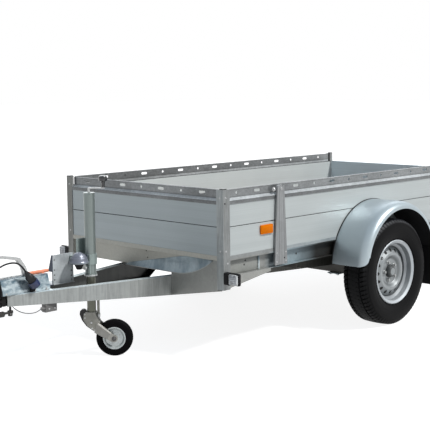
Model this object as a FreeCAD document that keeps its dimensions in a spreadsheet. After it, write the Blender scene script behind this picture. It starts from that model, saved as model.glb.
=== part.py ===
import FreeCAD, Part
import Sketcher
import math
import os
import re
from FreeCAD import Vector

# A single-axle utility trailer with aluminium walls, an overrun coupling and a jockey wheel.
# X points forward to the coupling, Y to the trailer's left and Z up; the ground is at Z = 0.
# Lengths are in millimetres and angles in degrees.

doc = FreeCAD.newDocument("utility_trailer")
sheet = doc.addObject("Spreadsheet::Sheet", "sizes")

SIZES = [
    # load box
    ("box_width", 1330, "outer width over the posts"),
    ("box_length", 2580, "front of the front posts to the back of the rear posts"),
    ("drawbar_reach", 1290, "front posts to the nose of the coupling"),
    ("tail_reach", 14, "rear posts to the back of the tailgate hinges"),
    ("rail_top", 912, "height of the top of the rails"),
    ("rail_web", 46, "height of the slotted web above its slope"),
    ("rail_slope", 16, "height of the sloping strip of the rail"),
    ("rail_step", 18, "distance of the slotted web inside the posts' faces"),
    ("rail_lip", 18, "height of the rail's lip over the panel"),
    ("panel_bottom", 558, "height of the lower edge of the wall panels"),
    ("groove_level", 712, "height of the joint between two planks"),
    ("groove_depth", 2.5, "depth of the joint between two planks"),
    ("groove_half", 2.5, "half the width of the joint between two planks"),
    ("panel_thick", 20, "thickness of the hollow aluminium planks"),
    ("steel", 3, "thickness of the folded steel"),
    ("floor_thick", 12, "thickness of the plywood floor"),
    ("floor_drop", 6, "floor below the panels' lower edge"),
    # posts
    ("post_flange", 50, "width of a corner post's flanges"),
    ("post_bottom", 379, "height of the front posts' lower end"),
    ("rear_flange", 26, "width of a rear post's rear flange"),
    ("cap_size", 27, "side of the black caps on the posts"),
    ("cap_height", 5, "height of a cap above its post"),
    ("stake_front", 393, "front posts' face to the front edge of the side post"),
    ("stake_width_low", 107, "width of the side post at its foot"),
    ("stake_width_top", 86, "width of the side post at its head"),
    ("stake_bottom", 462, "height of the side post's foot"),
    ("stake_top", 906, "height of the side post's head"),
    ("stake_depth", 14, "distance that the side post stands out"),
    # sills
    ("sill_bottom", 450, "height of the side sills' lower edge"),
    ("sill_recess", 25, "depth of the side sill's open side"),
    ("sill_band", 25, "height of the band under the panels"),
    ("front_sill_bottom", 430, "height of the front sill's lower edge"),
    ("front_sill_top_set", 8, "front sill's web behind the posts' face, at its top"),
    ("front_sill_low_set", 36, "front sill's web behind the posts' face, at its foot"),
    ("sill_hole", 11, "diameter of the holes in the front sill"),
    ("sill_hole_upper", 527, "height of the upper hole"),
    ("sill_hole_lower", 485, "height of the lower hole"),
    ("sill_hole_side", 38, "distance of the holes from the middle"),
    ("cross_flange", 40, "width of the cross members' flanges"),
    ("cross_first", 120, "front posts' face to the first cross member"),
    ("cross_pitch", 505, "distance between cross members"),
    ("cross_count", 5, "number of cross members"),
    # slots in the rails
    ("slot_length", 50, "length of a long slot"),
    ("hole_length", 17, "length of a short slot"),
    ("slot_height", 15, "height of a slot"),
    ("slot_level", 889, "height of the slots' middle"),
    ("slot_pitch", 163.35, "distance from a long slot to the next short one"),
    ("slot_first", 121.6, "front posts' face to the first slot of a side rail"),
    # drawbar
    ("drawbar_top", 410, "height of the top of the drawbar"),
    ("drawbar_half", 258.5, "half the drawbar's width at the front posts"),
    ("nose_to_tip", 370, "nose of the coupling to the tip of the drawbar members"),
    ("drawbar_tip_half", 36, "half the drawbar's width at its tip"),
    ("drawbar_tip_depth", 55, "depth of a member at its tip"),
    ("drawbar_depth", 127, "greatest depth of a member"),
    ("drawbar_deep_at", 320, "front posts to the deepest place, under the floor"),
    ("drawbar_rise_at", 460, "front posts to the end of the rising part"),
    ("drawbar_rear_depth", 55, "depth of a member at the axle"),
    ("drawbar_rear", 1185, "front posts to the members' rear end"),
    ("drawbar_flange", 40, "width of a member's flanges"),
    ("drawbar_wall", 4, "thickness of a member's steel"),
    # outriggers
    ("outrigger_low", 303, "height of the outrigger's lower edge at the drawbar"),
    ("outrigger_flat", 300, "middle to the start of the outrigger's arc"),
    ("outrigger_arc_top", 555, "height of the outer end of the outrigger's arc"),
    ("return_length", 372, "front posts' face to the end of the side return"),
    ("return_end", 434, "height of the side return's lower edge at its end"),
    ("leaf_tip_left", -136, "inner tip of the left leaf"),
    ("arm_top", 370, "height of the right outrigger's flat upper edge"),
    ("arm_flat", 400, "middle to the start of the right outrigger's arc"),
    ("arm_arc_top", 455, "height of the outer end of the right outrigger's arc"),
    ("leaf_sag", 9, "hollow of the leaf"),
    # overrun coupling
    ("head_plate_length", 248, "length of the head plate"),
    ("plate_thick", 4, "thickness of the head plate"),
    ("nose_to_gaiter", 335, "nose of the coupling to the rear of the gaiter"),
    ("housing_length", 290, "length of the overrun housing"),
    ("housing_base", 48, "half the housing's width at its foot"),
    ("housing_crown", 30, "half the housing's width at its top"),
    ("housing_height", 76, "height of the housing"),
    ("draw_axis", 435, "height of the draw tube's axis"),
    ("draw_radius", 25, "radius of the draw tube"),
    ("gaiter_length", 120, "length of the rubber gaiter"),
    ("gaiter_radius", 54, "outer radius of the gaiter's folds"),
    ("gaiter_neck", 42, "radius between the gaiter's folds"),
    ("gaiter_folds", 6, "number of folds"),
    ("head_radius", 48, "radius of the coupling's ball housing"),
    ("shank_radius", 29, "radius of the coupling's shank"),
    ("ball_radius", 25.2, "radius of the ball's seat"),
    ("ball_level", 418, "height of the ball's centre"),
    ("cup_rim", 400, "height of the rim of the ball's seat"),
    ("handle_width", 26, "width of the coupling's handle"),
    ("lever_set", 181, "housing's front to the foot of the handbrake lever"),
    ("lever_reach", 426, "length of the handbrake lever"),
    ("lever_rise", 142, "height of the handbrake lever over the housing"),
    ("lever_half", 19, "half the width of the handbrake lever"),
    ("lever_bar", 12, "width of the lever's two bars"),
    ("lever_depth", 14, "depth of the handbrake lever's bars"),
    ("brake_rod_radius", 5.5, "radius of the brake rod"),
    ("strut_radius", 9, "radius of the handbrake's strut"),
    ("strut_rise", 9.3, "height of the strut's axis over the housing"),
    ("strut_length", 131, "length of the handbrake's strut"),
    ("bumper_depth", 24, "depth of the rubber block at the drawbar's tip"),
    # perforated bracket
    ("bracket_set", 206, "housing's rear to the bracket's rear edge"),
    ("bracket_width", 139, "width of the bracket"),
    ("bracket_top", 570, "height of the bracket's top"),
    ("bracket_side", 20, "middle to the bracket's near face, to the right"),
    ("bracket_return", 38, "width of the bracket's front return"),
    # jockey wheel
    ("nose_to_jockey", 899, "nose of the coupling to the jockey wheel's stem"),
    ("jockey_side", 43, "middle to the jockey wheel's stem"),
    ("stem_radius", 30, "outer radius of the outer tube"),
    ("stem_bottom", 441, "height of the outer tube's lower end"),
    ("stem_top", 890, "height of the outer tube's top"),
    ("leg_radius", 24, "radius of the inner tube"),
    ("leg_gap", 0.4, "clearance between inner and outer tube"),
    ("leg_bottom", 245, "height of the inner tube's lower end"),
    ("leg_top", 640, "height of the inner tube's upper end"),
    ("collar_radius", 34, "radius of the collar on the outer tube"),
    ("kingpin_radius", 9, "radius of the fork's upright pin"),
    ("kingpin_length", 40, "length of the fork's upright pin"),
    ("trail", 122, "distance of the wheel's axle from the stem's axis"),
    ("jockey_turn", 133.9, "direction in which the jockey wheel trails"),
    ("jockey_radius", 100, "radius of the jockey wheel"),
    ("jockey_width", 50, "width of the jockey wheel's tyre"),
    ("jockey_rim_radius", 60, "radius of the jockey wheel's rim"),
    ("cheek_thick", 4, "thickness of the fork's cheeks"),
    ("cheek_gap", 6, "clearance between tyre and cheeks"),
    ("jockey_axle_radius", 6, "radius of the jockey wheel's axle"),
    ("pin_gap", 0.3, "clearance of the pins and axles"),
    ("clamp_level", 505, "height of the clamp's lower face"),
    ("clamp_height", 56, "height of the clamp"),
    ("clamp_wall", 5, "thickness of the clamp's ring"),
    ("bell_radius", 52, "radius of the rim of the clamp's bell-shaped knob"),
    ("bell_forward", 84, "stem to the clamp's bell-shaped knob"),
    ("bell_side", 8, "stem to the clamp's bell-shaped knob, to the left"),
    ("bell_level", 521, "height of the knob's rim"),
    ("crank_reach", 76, "length of the crank"),
    ("crank_knob_radius", 24, "radius of the crank's knob"),
    ("crank_neck_radius", 11, "radius of the knob's neck"),
    # axle and wheels
    ("axle_forward", 1150, "front posts to the middle of the axle beam"),
    ("beam_size", 50, "side of the square axle beam"),
    ("beam_set", 65, "posts' face to the end of the axle beam, inwards"),
    ("wheel_back", 1294, "front posts to the wheel's axis"),
    ("wheel_radius", 322, "radius of the tyre"),
    ("tyre_width", 185, "width of the tyre"),
    ("tread_width", 138, "width of the tread"),
    ("flange_radius", 195, "radius of the rim's flange"),
    ("rim_out", 191, "posts' face to the rim's outer flange"),
    ("rim_width", 162, "width of the rim over its flanges"),
    ("rim_steel", 4, "thickness of the rim"),
    ("seat_radius", 178, "radius of the bead seats"),
    ("well_radius", 158, "radius of the rim's well"),
    ("disc_out", 140, "posts' face to the wheel's mounting face"),
    ("vent_count", 16, "number of vent holes"),
    ("vent_circle", 129, "radius of the circle of vent holes"),
    ("vent_radius", 10, "radius of a vent hole"),
    ("drum_radius", 105, "radius of the brake drum"),
    ("drum_out", 73, "posts' face to the drum's inner face"),
    ("hub_radius", 32, "radius of the hub"),
    ("hub_out", 167, "posts' face to the end of the hub cap"),
    ("stub_radius", 15, "radius of the stub axle"),
    ("stub_out", 125, "posts' face to the end of the stub axle"),
    ("arm_thick", 25, "thickness of the trailing arm"),
    ("boss_radius", 30, "radius of the boss on the trailing arm"),
    ("backplate_thick", 6, "thickness of the brake's back plate"),
    ("brake_gap", 7, "clearance between back plate and drum"),
    # mudguards
    ("guard_back", 1297, "front posts to the mudguard's middle"),
    ("guard_level", 367, "height of the mudguard's centre of curvature"),
    ("guard_radius", 385, "outer radius of the mudguard"),
    ("guard_width", 240, "width of the mudguard"),
    ("guard_shoulder", 37, "radius of the mudguard's shoulder"),
    ("guard_lip", 6, "depth of the mudguard's lip"),
    ("guard_thick", 2, "thickness of the mudguard"),
    ("guard_arc", 170, "angle that the mudguard spans"),
    ("flap_set", 15, "posts' face to the mudflap's inner edge"),
    ("flap_width", 187, "width of the mudflap"),
    ("flap_bottom", 190, "height of the mudflap's lower edge"),
    ("flap_top", 425, "height of the mudflap's upper edge"),
    ("flap_thick", 5, "thickness of the mudflap"),
    # lamps and tailgate
    ("marker_rear", 36, "front posts' face to the back of the front marker"),
    ("marker_front", 2, "front posts' face to the front of the front marker"),
    ("marker_low", 411, "height of the front marker's lower edge"),
    ("marker_high", 476, "height of the front marker's upper edge"),
    ("marker_base", 29, "length of the front marker's rubber base"),
    ("marker_reach", 95, "distance that the front marker stands out"),
    ("reflector_front", 288, "front posts' face to the side reflector"),
    ("reflector_length", 99, "length of the side reflector"),
    ("reflector_low", 646, "height of the side reflector's lower edge"),
    ("reflector_height", 50, "height of the side reflector"),
    ("reflector_depth", 8, "depth of the side reflector"),
    ("lamp_width", 210, "width of a rear lamp"),
    ("lamp_height", 92, "height of a rear lamp"),
    ("lamp_set", 25, "posts' face to the outer edge of a rear lamp"),
    ("lamp_depth", 32, "depth of a rear lamp"),
    ("plate_length", 520, "length of the blank number plate"),
    ("plate_height", 96, "height of the blank number plate"),
    ("gate_gap", 6, "clearance round the tailgate"),
    ("gate_top", 852, "height of the tailgate's top"),
    ("hinge_radius", 6, "radius of the hinge knuckles"),
    ("hinge_pin", 3, "radius of the hinge pins"),
    ("hinge_level", 552, "height of the hinges' axis"),
    ("hinge_side", 450, "distance between hinges"),
    ("hinge_width", 30, "width of a hinge's middle knuckle"),
    # lighting cable, breakaway wire and what hangs under the drawbar
    ("cable_diameter", 9, "diameter of the lighting cable"),
    ("wire_diameter", 4, "diameter of the breakaway wire"),
    ("plug_radius", 23, "radius of the plug"),
    ("plug_length", 97.4, "length of the plug with its rubber neck"),
    ("plug_tilt", 35.8, "angle between the parked plug and the vertical"),
    ("plug_side", 74, "middle to the parked plug's axis"),
    ("plug_set", 178, "housing's front to the plug's lower end"),
    ("plug_level", 450, "height of the plug's lower end"),
    ("holder_wall", 4.7, "thickness of the plug holder"),
    ("box_low", 298, "height of the lower face of the box under the drawbar"),
    ("bolt_radius", 6, "radius of the safety hook's bolt"),
]

for row, (alias, value, note) in enumerate(SIZES, start=1):
    sheet.set("A%d" % row, alias)
    sheet.set("B%d" % row, str(value))
    sheet.setAlias("B%d" % row, alias)
    sheet.set("C%d" % row, note)
doc.recompute()
ALIASES = {alias for alias, value, note in SIZES}

# places that several pieces share, worked out from the sizes above
PLACES = {
    "half": "box_width / 2",
    "front": "(box_length + tail_reach - drawbar_reach) / 2",
    "rear": "front - box_length",
    "panel_out": "half - steel",
    "panel_in": "panel_out - panel_thick",
    "panel_top": "rail_top - rail_web - rail_slope - 4",
    "floor_top": "panel_bottom - floor_drop",
    "floor_bottom": "floor_top - floor_thick",
    "sill_in": "half - sill_recess - steel",
    "drawbar_tip": "drawbar_reach - nose_to_tip",
    "plate_rear": "drawbar_tip - head_plate_length",
    "housing_front": "drawbar_reach - nose_to_gaiter",
    "housing_rear": "housing_front - housing_length",
    "crown": "deck + housing_height",
    "strut_level": "crown + strut_rise",
    "bracket_rear": "housing_rear - bracket_set",
    "jockey_forward": "drawbar_reach - nose_to_jockey",
    "beam_half": "half - beam_set",
    "flange_plane": "half + rim_out",
    "disc_plane": "half + disc_out",
    "drum_inner": "half + drum_out",
    "hub_cap": "half + hub_out",
    "stub_end": "half + stub_out",
    "guard_half": "half + guard_width",
    "flap_inner": "half + flap_set",
    "lamp_edge": "half - lamp_set",
    "arm_radius": "((half - post_flange - arm_flat)^2 + (arm_arc_top - arm_top)^2) / (2 * (arm_arc_top - arm_top))",
    "drawbar_angle": "atan((drawbar_half - drawbar_tip_half) / drawbar_tip)",
    "outrigger_radius": "((half - post_flange - outrigger_flat)^2 + (outrigger_arc_top - front_sill_bottom)^2)"
                        " / (2 * (outrigger_arc_top - front_sill_bottom))",
    "wheel_x": "front - wheel_back",
    "guard_x": "front - guard_back",
    "stem_x": "front + jockey_forward",
    "ball_x": "front + drawbar_reach - head_radius",
    "hinge_x": "rear - tail_reach + hinge_radius",
    "axle_level": "wheel_radius",
    "gate_bottom": "hinge_level + hinge_radius + gate_gap",
    "gate_half": "half - rear_flange - gate_gap",
    "rim_inner": "(flange_plane) - rim_width",
    "tyre_middle": "flange_plane - rim_width / 2",
    "tyre_half": "tyre_width / 2",
    "deck": "drawbar_top + plate_thick",
}
WORD = re.compile(r"[a-z][a-z_0-9]*")


def spell(text, prefix=""):
    """Writes an expression out in terms of the sheet's cells."""
    def swap(match):
        word = match.group(0)
        if word in PLACES:
            return "(" + spell(PLACES[word], prefix) + ")"
        if word in ALIASES:
            return prefix + word
        return word
    return WORD.sub(swap, str(text))


def number(text):
    """Gives the value of an expression."""
    value = sheet.evalExpression(spell(text))
    return float(getattr(value, "Value", value))


def bind(obj, prop, text):
    """Ties a property to the sheet."""
    obj.setExpression(prop, spell(text, "sizes."))


def place(obj, x="0", y="0", z="0"):
    """Ties an object's place to the sheet."""
    for axis, text in zip("xyz", (x, y, z)):
        bind(obj, "Placement.Base." + axis, text)
    return obj


def block(name, x0, x1, y0, y1, z0, z1):
    """A box between three pairs of planes."""
    obj = doc.addObject("Part::Box", name)
    bind(obj, "Length", "(%s) - (%s)" % (x1, x0))
    bind(obj, "Width", "(%s) - (%s)" % (y1, y0))
    bind(obj, "Height", "(%s) - (%s)" % (z1, z0))
    return place(obj, x0, y0, z0)


TURNS = {
    "x": FreeCAD.Rotation(Vector(0, 1, 0), 90),
    "y": FreeCAD.Rotation(Vector(1, 0, 0), -90),
    "z": FreeCAD.Rotation(),
}


def rod(name, axis, x, y, z, radius, length):
    """A cylinder that starts at a point and runs along an axis."""
    obj = doc.addObject("Part::Cylinder", name)
    bind(obj, "Radius", radius)
    bind(obj, "Height", length)
    obj.Placement = FreeCAD.Placement(Vector(), TURNS[axis])
    return place(obj, x, y, z)


def cone(name, x, y, z, radius_low, radius_high, height):
    """An upright cone."""
    obj = doc.addObject("Part::Cone", name)
    bind(obj, "Radius1", radius_low)
    bind(obj, "Radius2", radius_high)
    bind(obj, "Height", height)
    return place(obj, x, y, z)


def ball(name, x, y, z, radius, turn):
    """A sphere, with its seam turned away from other edges."""
    obj = doc.addObject("Part::Sphere", name)
    bind(obj, "Radius", radius)
    obj.Placement = FreeCAD.Placement(Vector(), FreeCAD.Rotation(Vector(0, 0, 1), turn))
    return place(obj, x, y, z)


def join(name, pieces):
    """One solid out of several that touch."""
    obj = doc.addObject("Part::MultiFuse", name)
    obj.Shapes = pieces
    obj.Refine = True
    return obj


def cut(name, base, tools):
    """A piece less its cutting tools."""
    obj = doc.addObject("Part::Cut", name)
    obj.Base = base
    obj.Tool = tools[0] if len(tools) == 1 else join(name + "_tools", tools)
    obj.Refine = True
    return obj


def group(name, pieces):
    """Like pieces that share one node and don't touch."""
    obj = doc.addObject("Part::Compound", name)
    obj.Links = pieces
    return obj


def mirrored(name, source):
    """The same piece on the trailer's right."""
    obj = doc.addObject("Part::Mirroring", name)
    obj.Source = source
    obj.Base = Vector(0, 0, 0)
    obj.Normal = Vector(0, 1, 0)
    return obj


# how far a sketch's plane lies along its body's axis, and whether a pad there is reversed
PLANES = {"XY": ("XY_Plane", 1, False), "XZ": ("XZ_Plane", -1, True), "YZ": ("YZ_Plane", 1, False)}


def outline(body, name, plane, points, start="0"):
    """A fully constrained sketch: points, and an arc after each point that names a radius and a side."""
    role, sign, reverse = PLANES[plane]
    sketch = body.newObject("Sketcher::SketchObject", name)
    origin = [part for part in body.Origin.OriginFeatures if part.Role == role][0]
    sketch.AttachmentSupport = [(origin, "")]
    sketch.MapMode = "FlatFace"
    bind(sketch, "AttachmentOffset.Base.z", "%d * (%s)" % (sign, start))
    spots = [Vector(number(point[0]), number(point[1]), 0) for point in points]
    count = len(points)
    for index, point in enumerate(points):
        first, last = spots[index], spots[(index + 1) % count]
        if len(point) == 2:
            sketch.addGeometry(Part.LineSegment(first, last), False)
            continue
        radius, side = number(point[2]), point[3]
        chord = last - first
        height = math.sqrt(max(radius ** 2 - (chord.Length / 2) ** 2, 0))
        across = Vector(-chord.y, chord.x, 0).normalize()
        centre = (first + last) / 2 + across * (height * side)
        bulge = centre - across * (radius * side)
        sketch.addGeometry(Part.Arc(first, bulge, last), False)
    for index, point in enumerate(points):
        after = (index + 1) % count
        ends = [2, 1]
        if len(point) > 2 and point[3] < 0:
            ends[0] = 1
        if len(points[after]) > 2 and points[after][3] < 0:
            ends[1] = 2
        sketch.addConstraint(Sketcher.Constraint("Coincident", index, ends[0], after, ends[1]))
    for index, point in enumerate(points):
        end = 2 if len(point) > 2 and point[3] < 0 else 1
        for kind, text, value in (("DistanceX", point[0], spots[index].x), ("DistanceY", point[1], spots[index].y)):
            link = sketch.addConstraint(Sketcher.Constraint(kind, -1, 1, index, end, value))
            bind(sketch, "Constraints[%d]" % link, text)
        if len(point) > 2:
            link = sketch.addConstraint(Sketcher.Constraint("Radius", index, number(point[2])))
            bind(sketch, "Constraints[%d]" % link, point[2])
    return sketch


def prism(name, plane, points, start, end):
    """An outline padded from one plane to another."""
    body = doc.addObject("PartDesign::Body", name)
    sketch = outline(body, name + "_outline", plane, points, start)
    pad = body.newObject("PartDesign::Pad", name + "_pad")
    pad.Profile = sketch
    pad.Reversed = PLANES[plane][2]
    bind(pad, "Length", "(%s) - (%s)" % (end, start))
    return body


def turned(name, points, angle=360):
    """An outline of (place along Y, radius) turned about the body's Y axis."""
    body = doc.addObject("PartDesign::Body", name)
    sketch = outline(body, name + "_outline", "YZ", points)
    turn = body.newObject("PartDesign::Revolution", name + "_turn")
    turn.Profile = sketch
    turn.ReferenceAxis = (sketch, ["H_Axis"])
    bind(turn, "Angle", str(angle))
    turn.Midplane = True
    return body


def shaped(name, shape):
    """A piece whose form is worked out from the sheet."""
    obj = doc.addObject("Part::Feature", name)
    obj.Shape = shape
    return obj


def cord(name, route, diameter):
    """A tube along straight runs, with an arc at each point of the route."""
    points = [Vector(number(x), number(y), number(z)) for x, y, z in route]
    edges, radii, start = [], [], points[0]
    for before, corner, after in zip(points, points[1:], points[2:]):
        back, ahead = before - corner, after - corner
        half_turn = (math.pi - back.getAngle(ahead)) / 2
        reach = 0.45 * min(back.Length, ahead.Length)
        radius = reach / math.tan(half_turn)
        radii.append(radius)
        first = corner + Vector(back).normalize() * reach
        last = corner + Vector(ahead).normalize() * reach
        inwards = ((first + last) / 2 - corner).normalize()
        middle = corner + inwards * (radius / math.cos(half_turn) - radius)
        edges.append(Part.LineSegment(start, first).toShape())
        edges.append(Part.Arc(first, middle, last).toShape())
        start = last
    edges.append(Part.LineSegment(start, points[-1]).toShape())
    path = Part.Wire(edges)
    ring = Part.Wire([Part.Circle(points[0], points[1] - points[0], number(diameter) / 2).toShape()])
    print("%s: length %.0f, arc radii %s" % (name, path.Length, " ".join("%.0f" % radius for radius in radii)))
    return shaped(name, path.makePipeShell([ring], True, False))


nodes = []


def node(name, obj):
    """Names a finished sub-part after its file."""
    obj.Label = name
    nodes.append((name, obj))
    return obj


def make_walls():
    """Front and side walls: two hollow planks with a groove between them."""
    def section(outer, inner):
        outer_groove = "%s - groove_depth" % outer
        inner_groove = "%s + groove_depth" % inner
        low, high = "groove_level - groove_half", "groove_level + groove_half"
        return [(outer, "panel_bottom"), (outer, low), (outer_groove, "groove_level"), (outer, high),
                (outer, "panel_top"), (inner, "panel_top"), (inner, high), (inner_groove, "groove_level"),
                (inner, low), (inner, "panel_bottom")]

    front = prism("wall_front", "XZ", section("front - steel", "front - steel - panel_thick"),
                  "-panel_out", "panel_out")
    node("front_wall", front)
    side = prism("wall_left", "YZ", section("panel_out", "panel_in"), "rear + steel", "front - steel - panel_thick")
    node("side_wall_left", side)
    node("side_wall_right", mirrored("wall_right", side))


def make_floor():
    """Plywood floor between the sills."""
    node("floor", block("deck_board", "rear + 2 * steel", "front - steel - panel_thick",
                        "-sill_in", "sill_in", "floor_bottom", "floor_top"))


def rail_section(face):
    """Rail profile, from the posts' face inwards: slotted web, slope and lip."""
    web_out, web_in = "%s - rail_step" % face, "%s - rail_step - steel" % face
    slope_top, slope_low = "rail_top - rail_web", "rail_top - rail_web - rail_slope"
    return [(web_in, "rail_top"), (web_out, "rail_top"), (web_out, slope_top), (face, slope_low),
            (face, slope_low + " - rail_lip"), ("%s - steel" % face, slope_low + " - rail_lip"),
            ("%s - steel" % face, slope_low + " - 2"), (web_out, slope_top + " - 4"),
            (web_out, "panel_top"), (web_in, "panel_top")]


def slot_prism(length, along, across, height, depth):
    """A slot with round ends, as a cutting tool through a web."""
    radius = height / 2
    reach = length / 2 - radius
    up = Vector(0, 0, 1)
    edges = [
        Part.LineSegment(-along * reach + up * radius, along * reach + up * radius).toShape(),
        Part.Arc(along * reach + up * radius, along * (reach + radius), along * reach - up * radius).toShape(),
        Part.LineSegment(along * reach - up * radius, -along * reach - up * radius).toShape(),
        Part.Arc(-along * reach - up * radius, -along * (reach + radius), -along * reach + up * radius).toShape(),
    ]
    face = Part.Face(Part.Wire(edges))
    face.translate(-across * (depth / 2))
    return face.extrude(across * depth)


def slots(name, start, count, along, across, spot, first_long):
    """A row of long and short slots in turn."""
    tools = []
    for index in range(count):
        long_one = (index % 2 == 0) == first_long
        length = number("slot_length") if long_one else number("hole_length")
        tool = slot_prism(length, along, across, number("slot_height"), number("rail_step"))
        tool.translate(spot + along * (start + index * number("slot_pitch")))
        tools.append(tool)
    return shaped(name, Part.makeCompound(tools))


def make_rails():
    """Slotted tie-down rails round the front and both sides."""
    pitch, level = number("slot_pitch"), number("slot_level")
    web = number("rail_step + steel / 2")
    side_end = "rear + post_flange"
    left = prism("rail_left_bar", "YZ", rail_section("half"), side_end, "front - post_flange")
    run = number("box_length - post_flange - slot_first - slot_length")
    side_slots = slots("rail_left_slots", number("slot_first"), int(run // pitch) + 1, Vector(-1, 0, 0),
                       Vector(0, 1, 0), Vector(number("front"), number("half") - web, level), False)
    left_rail = cut("rail_left_cut", left, [side_slots])
    node("rail_left", left_rail)
    node("rail_right", mirrored("rail_right_cut", left_rail))
    front = prism("rail_front_bar", "XZ", rail_section("front"), "-half + post_flange", "half - post_flange")
    each_side = int(number("half - post_flange - slot_length / 2") // pitch)
    front_slots = slots("rail_front_slots", -each_side * pitch, 2 * each_side + 1, Vector(0, 1, 0),
                        Vector(1, 0, 0), Vector(number("front") - web, 0, level), each_side % 2 == 1)
    node("rail_front", cut("rail_front_cut", front, [front_slots]))


def make_posts():
    """Angle posts at the corners, with black caps, and the tapered side posts."""
    front = prism("post_front", "XY", [
        ("front", "half"), ("front - post_flange", "half"), ("front - post_flange", "half - steel"),
        ("front - steel", "half - steel"), ("front - steel", "half - post_flange"),
        ("front", "half - post_flange")], "post_bottom", "rail_top")
    rear = prism("post_rear", "XY", [
        ("rear", "half"), ("rear", "half - rear_flange"), ("rear + steel", "half - rear_flange"),
        ("rear + steel", "half - steel"), ("rear + post_flange", "half - steel"),
        ("rear + post_flange", "half")], "sill_bottom", "rail_top")
    node("corner_posts_front", group("posts_front", [front, mirrored("post_front_right", front)]))
    node("corner_posts_rear", group("posts_rear", [rear, mirrored("post_rear_right", rear)]))

    caps = []
    for end, outer, inner in (("front", "front", "front - cap_size"), ("rear", "rear", "rear + cap_size")):
        low, high = (inner, outer) if end == "front" else (outer, inner)
        plug_low = low if end == "front" else "rear + steel"
        plug_high = "front - steel" if end == "front" else high
        cover = block("cap_%s_cover" % end, low, high, "half - cap_size", "half", "rail_top", "rail_top + cap_height")
        plug = block("cap_%s_plug" % end, plug_low, plug_high, "half - cap_size", "half - steel",
                     "panel_top", "rail_top")
        cap = join("cap_%s" % end, [cover, plug])
        caps += [cap, mirrored("cap_%s_right" % end, cap)]
    node("corner_caps", group("caps", caps))

    high = "(stake_width_low - stake_width_top) / 2"
    stake_rear = "front - stake_front - stake_width_low"
    shell = prism("stake_shell", "XZ", [
        ("front - stake_front", "stake_bottom"), ("front - stake_front - " + high, "stake_top"),
        (stake_rear + " + " + high, "stake_top"), (stake_rear, "stake_bottom")], "half", "half + stake_depth")
    hollow = prism("stake_hollow", "XZ", [
        ("front - stake_front - steel", "stake_bottom - 1"),
        ("front - stake_front - steel - " + high, "stake_top - steel"),
        (stake_rear + " + steel + " + high, "stake_top - steel"), (stake_rear + " + steel", "stake_bottom - 1")],
        "half - 1", "half + stake_depth - steel")
    stake = cut("stake", shell, [hollow])
    node("side_posts", group("stakes", [stake, mirrored("stake_right", stake)]))


def make_sills():
    """Folded sills that carry the walls, and the cross members under the floor."""
    left = prism("sill_left", "YZ", [
        ("sill_in", "sill_bottom"), ("half", "sill_bottom"), ("half", "sill_bottom + steel"),
        ("half - sill_recess", "sill_bottom + steel"), ("half - sill_recess", "panel_bottom - steel"),
        ("half - steel", "panel_bottom - steel"), ("half - steel", "panel_bottom - sill_band"),
        ("half", "panel_bottom - sill_band"), ("half", "panel_bottom"), ("sill_in", "panel_bottom")],
        "rear + post_flange", "front - post_flange")
    node("side_sills", group("sills", [left, mirrored("sill_right", left)]))

    top_set, low_set = "front - front_sill_top_set", "front - front_sill_low_set"
    sheet_front = prism("sill_front", "XZ", [
        ("front - post_flange + 10", "panel_bottom"), ("front", "panel_bottom"),
        ("front", "panel_bottom - sill_band"), ("front - steel", "panel_bottom - sill_band"),
        ("front - steel", "panel_bottom - steel"), (top_set, "panel_bottom - steel"),
        (low_set, "front_sill_bottom"), (low_set + " - steel", "front_sill_bottom"),
        (top_set + " - steel", "panel_bottom - steel"), ("front - post_flange + 10", "panel_bottom - steel")],
        "-half + post_flange", "half - post_flange")
    holes = [rod("sill_hole_%s" % level, "x", "front - 60", "sill_hole_side", level, "sill_hole / 2", "60")
             for level in ("sill_hole_upper", "sill_hole_lower")]
    node("front_sill", cut("sill_front_cut", sheet_front, holes))

    web = prism("sill_rear_web", "XZ", [
        ("rear + steel", "sill_bottom"), ("rear + post_flange", "sill_bottom"), ("rear + post_flange", "sill_bottom + steel"),
        ("rear + 2 * steel", "sill_bottom + steel"), ("rear + 2 * steel", "panel_bottom - steel"),
        ("rear + 40", "panel_bottom - steel"), ("rear + 40", "panel_bottom"), ("rear + steel", "panel_bottom")],
        "-half + steel", "half - steel")
    carrier = block("lamp_bar", "rear + lamp_depth", "rear + lamp_depth + 4", "-lamp_edge", "lamp_edge",
                    "sill_bottom - lamp_height - 6", "sill_bottom")
    knuckles = []
    for index in (-1, 0, 1):
        middle = "%d * hinge_side" % index
        knuckles.append(rod("hinge_pin_%d" % index, "y", "hinge_x", middle + " - hinge_width / 2 - 15", "hinge_level",
                            "hinge_pin", "hinge_width + 30"))
        for side, start in ((-1, "-hinge_width / 2 - 15"), (1, "hinge_width / 2 + 1")):
            begin = "%s + (%s)" % (middle, start)
            tag = "%d_%d" % (index, side)
            knuckles.append(rod("hinge_knuckle_" + tag, "y", "hinge_x", begin, "hinge_level", "hinge_radius", "14"))
            knuckles.append(block("hinge_lug_" + tag, "hinge_x", "rear + steel", begin, begin + " + 14",
                                  "hinge_level - 5", "hinge_level + 4"))
    node("rear_sill", join("sill_rear", [web, carrier] + knuckles))

    members = []
    for index in range(int(number("cross_count"))):
        face = "front - cross_first - %d * cross_pitch" % index
        back = face + " - cross_flange"
        members.append(prism("cross_%d" % index, "XZ", [
            (face, "drawbar_top"), (face, "floor_bottom"), (back, "floor_bottom"), (back, "floor_bottom - steel"),
            (face + " - steel", "floor_bottom - steel"), (face + " - steel", "drawbar_top + steel"),
            (back, "drawbar_top + steel"), (back, "drawbar_top")], "-sill_in", "sill_in"))
    node("cross_members", group("crosses", members))


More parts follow.
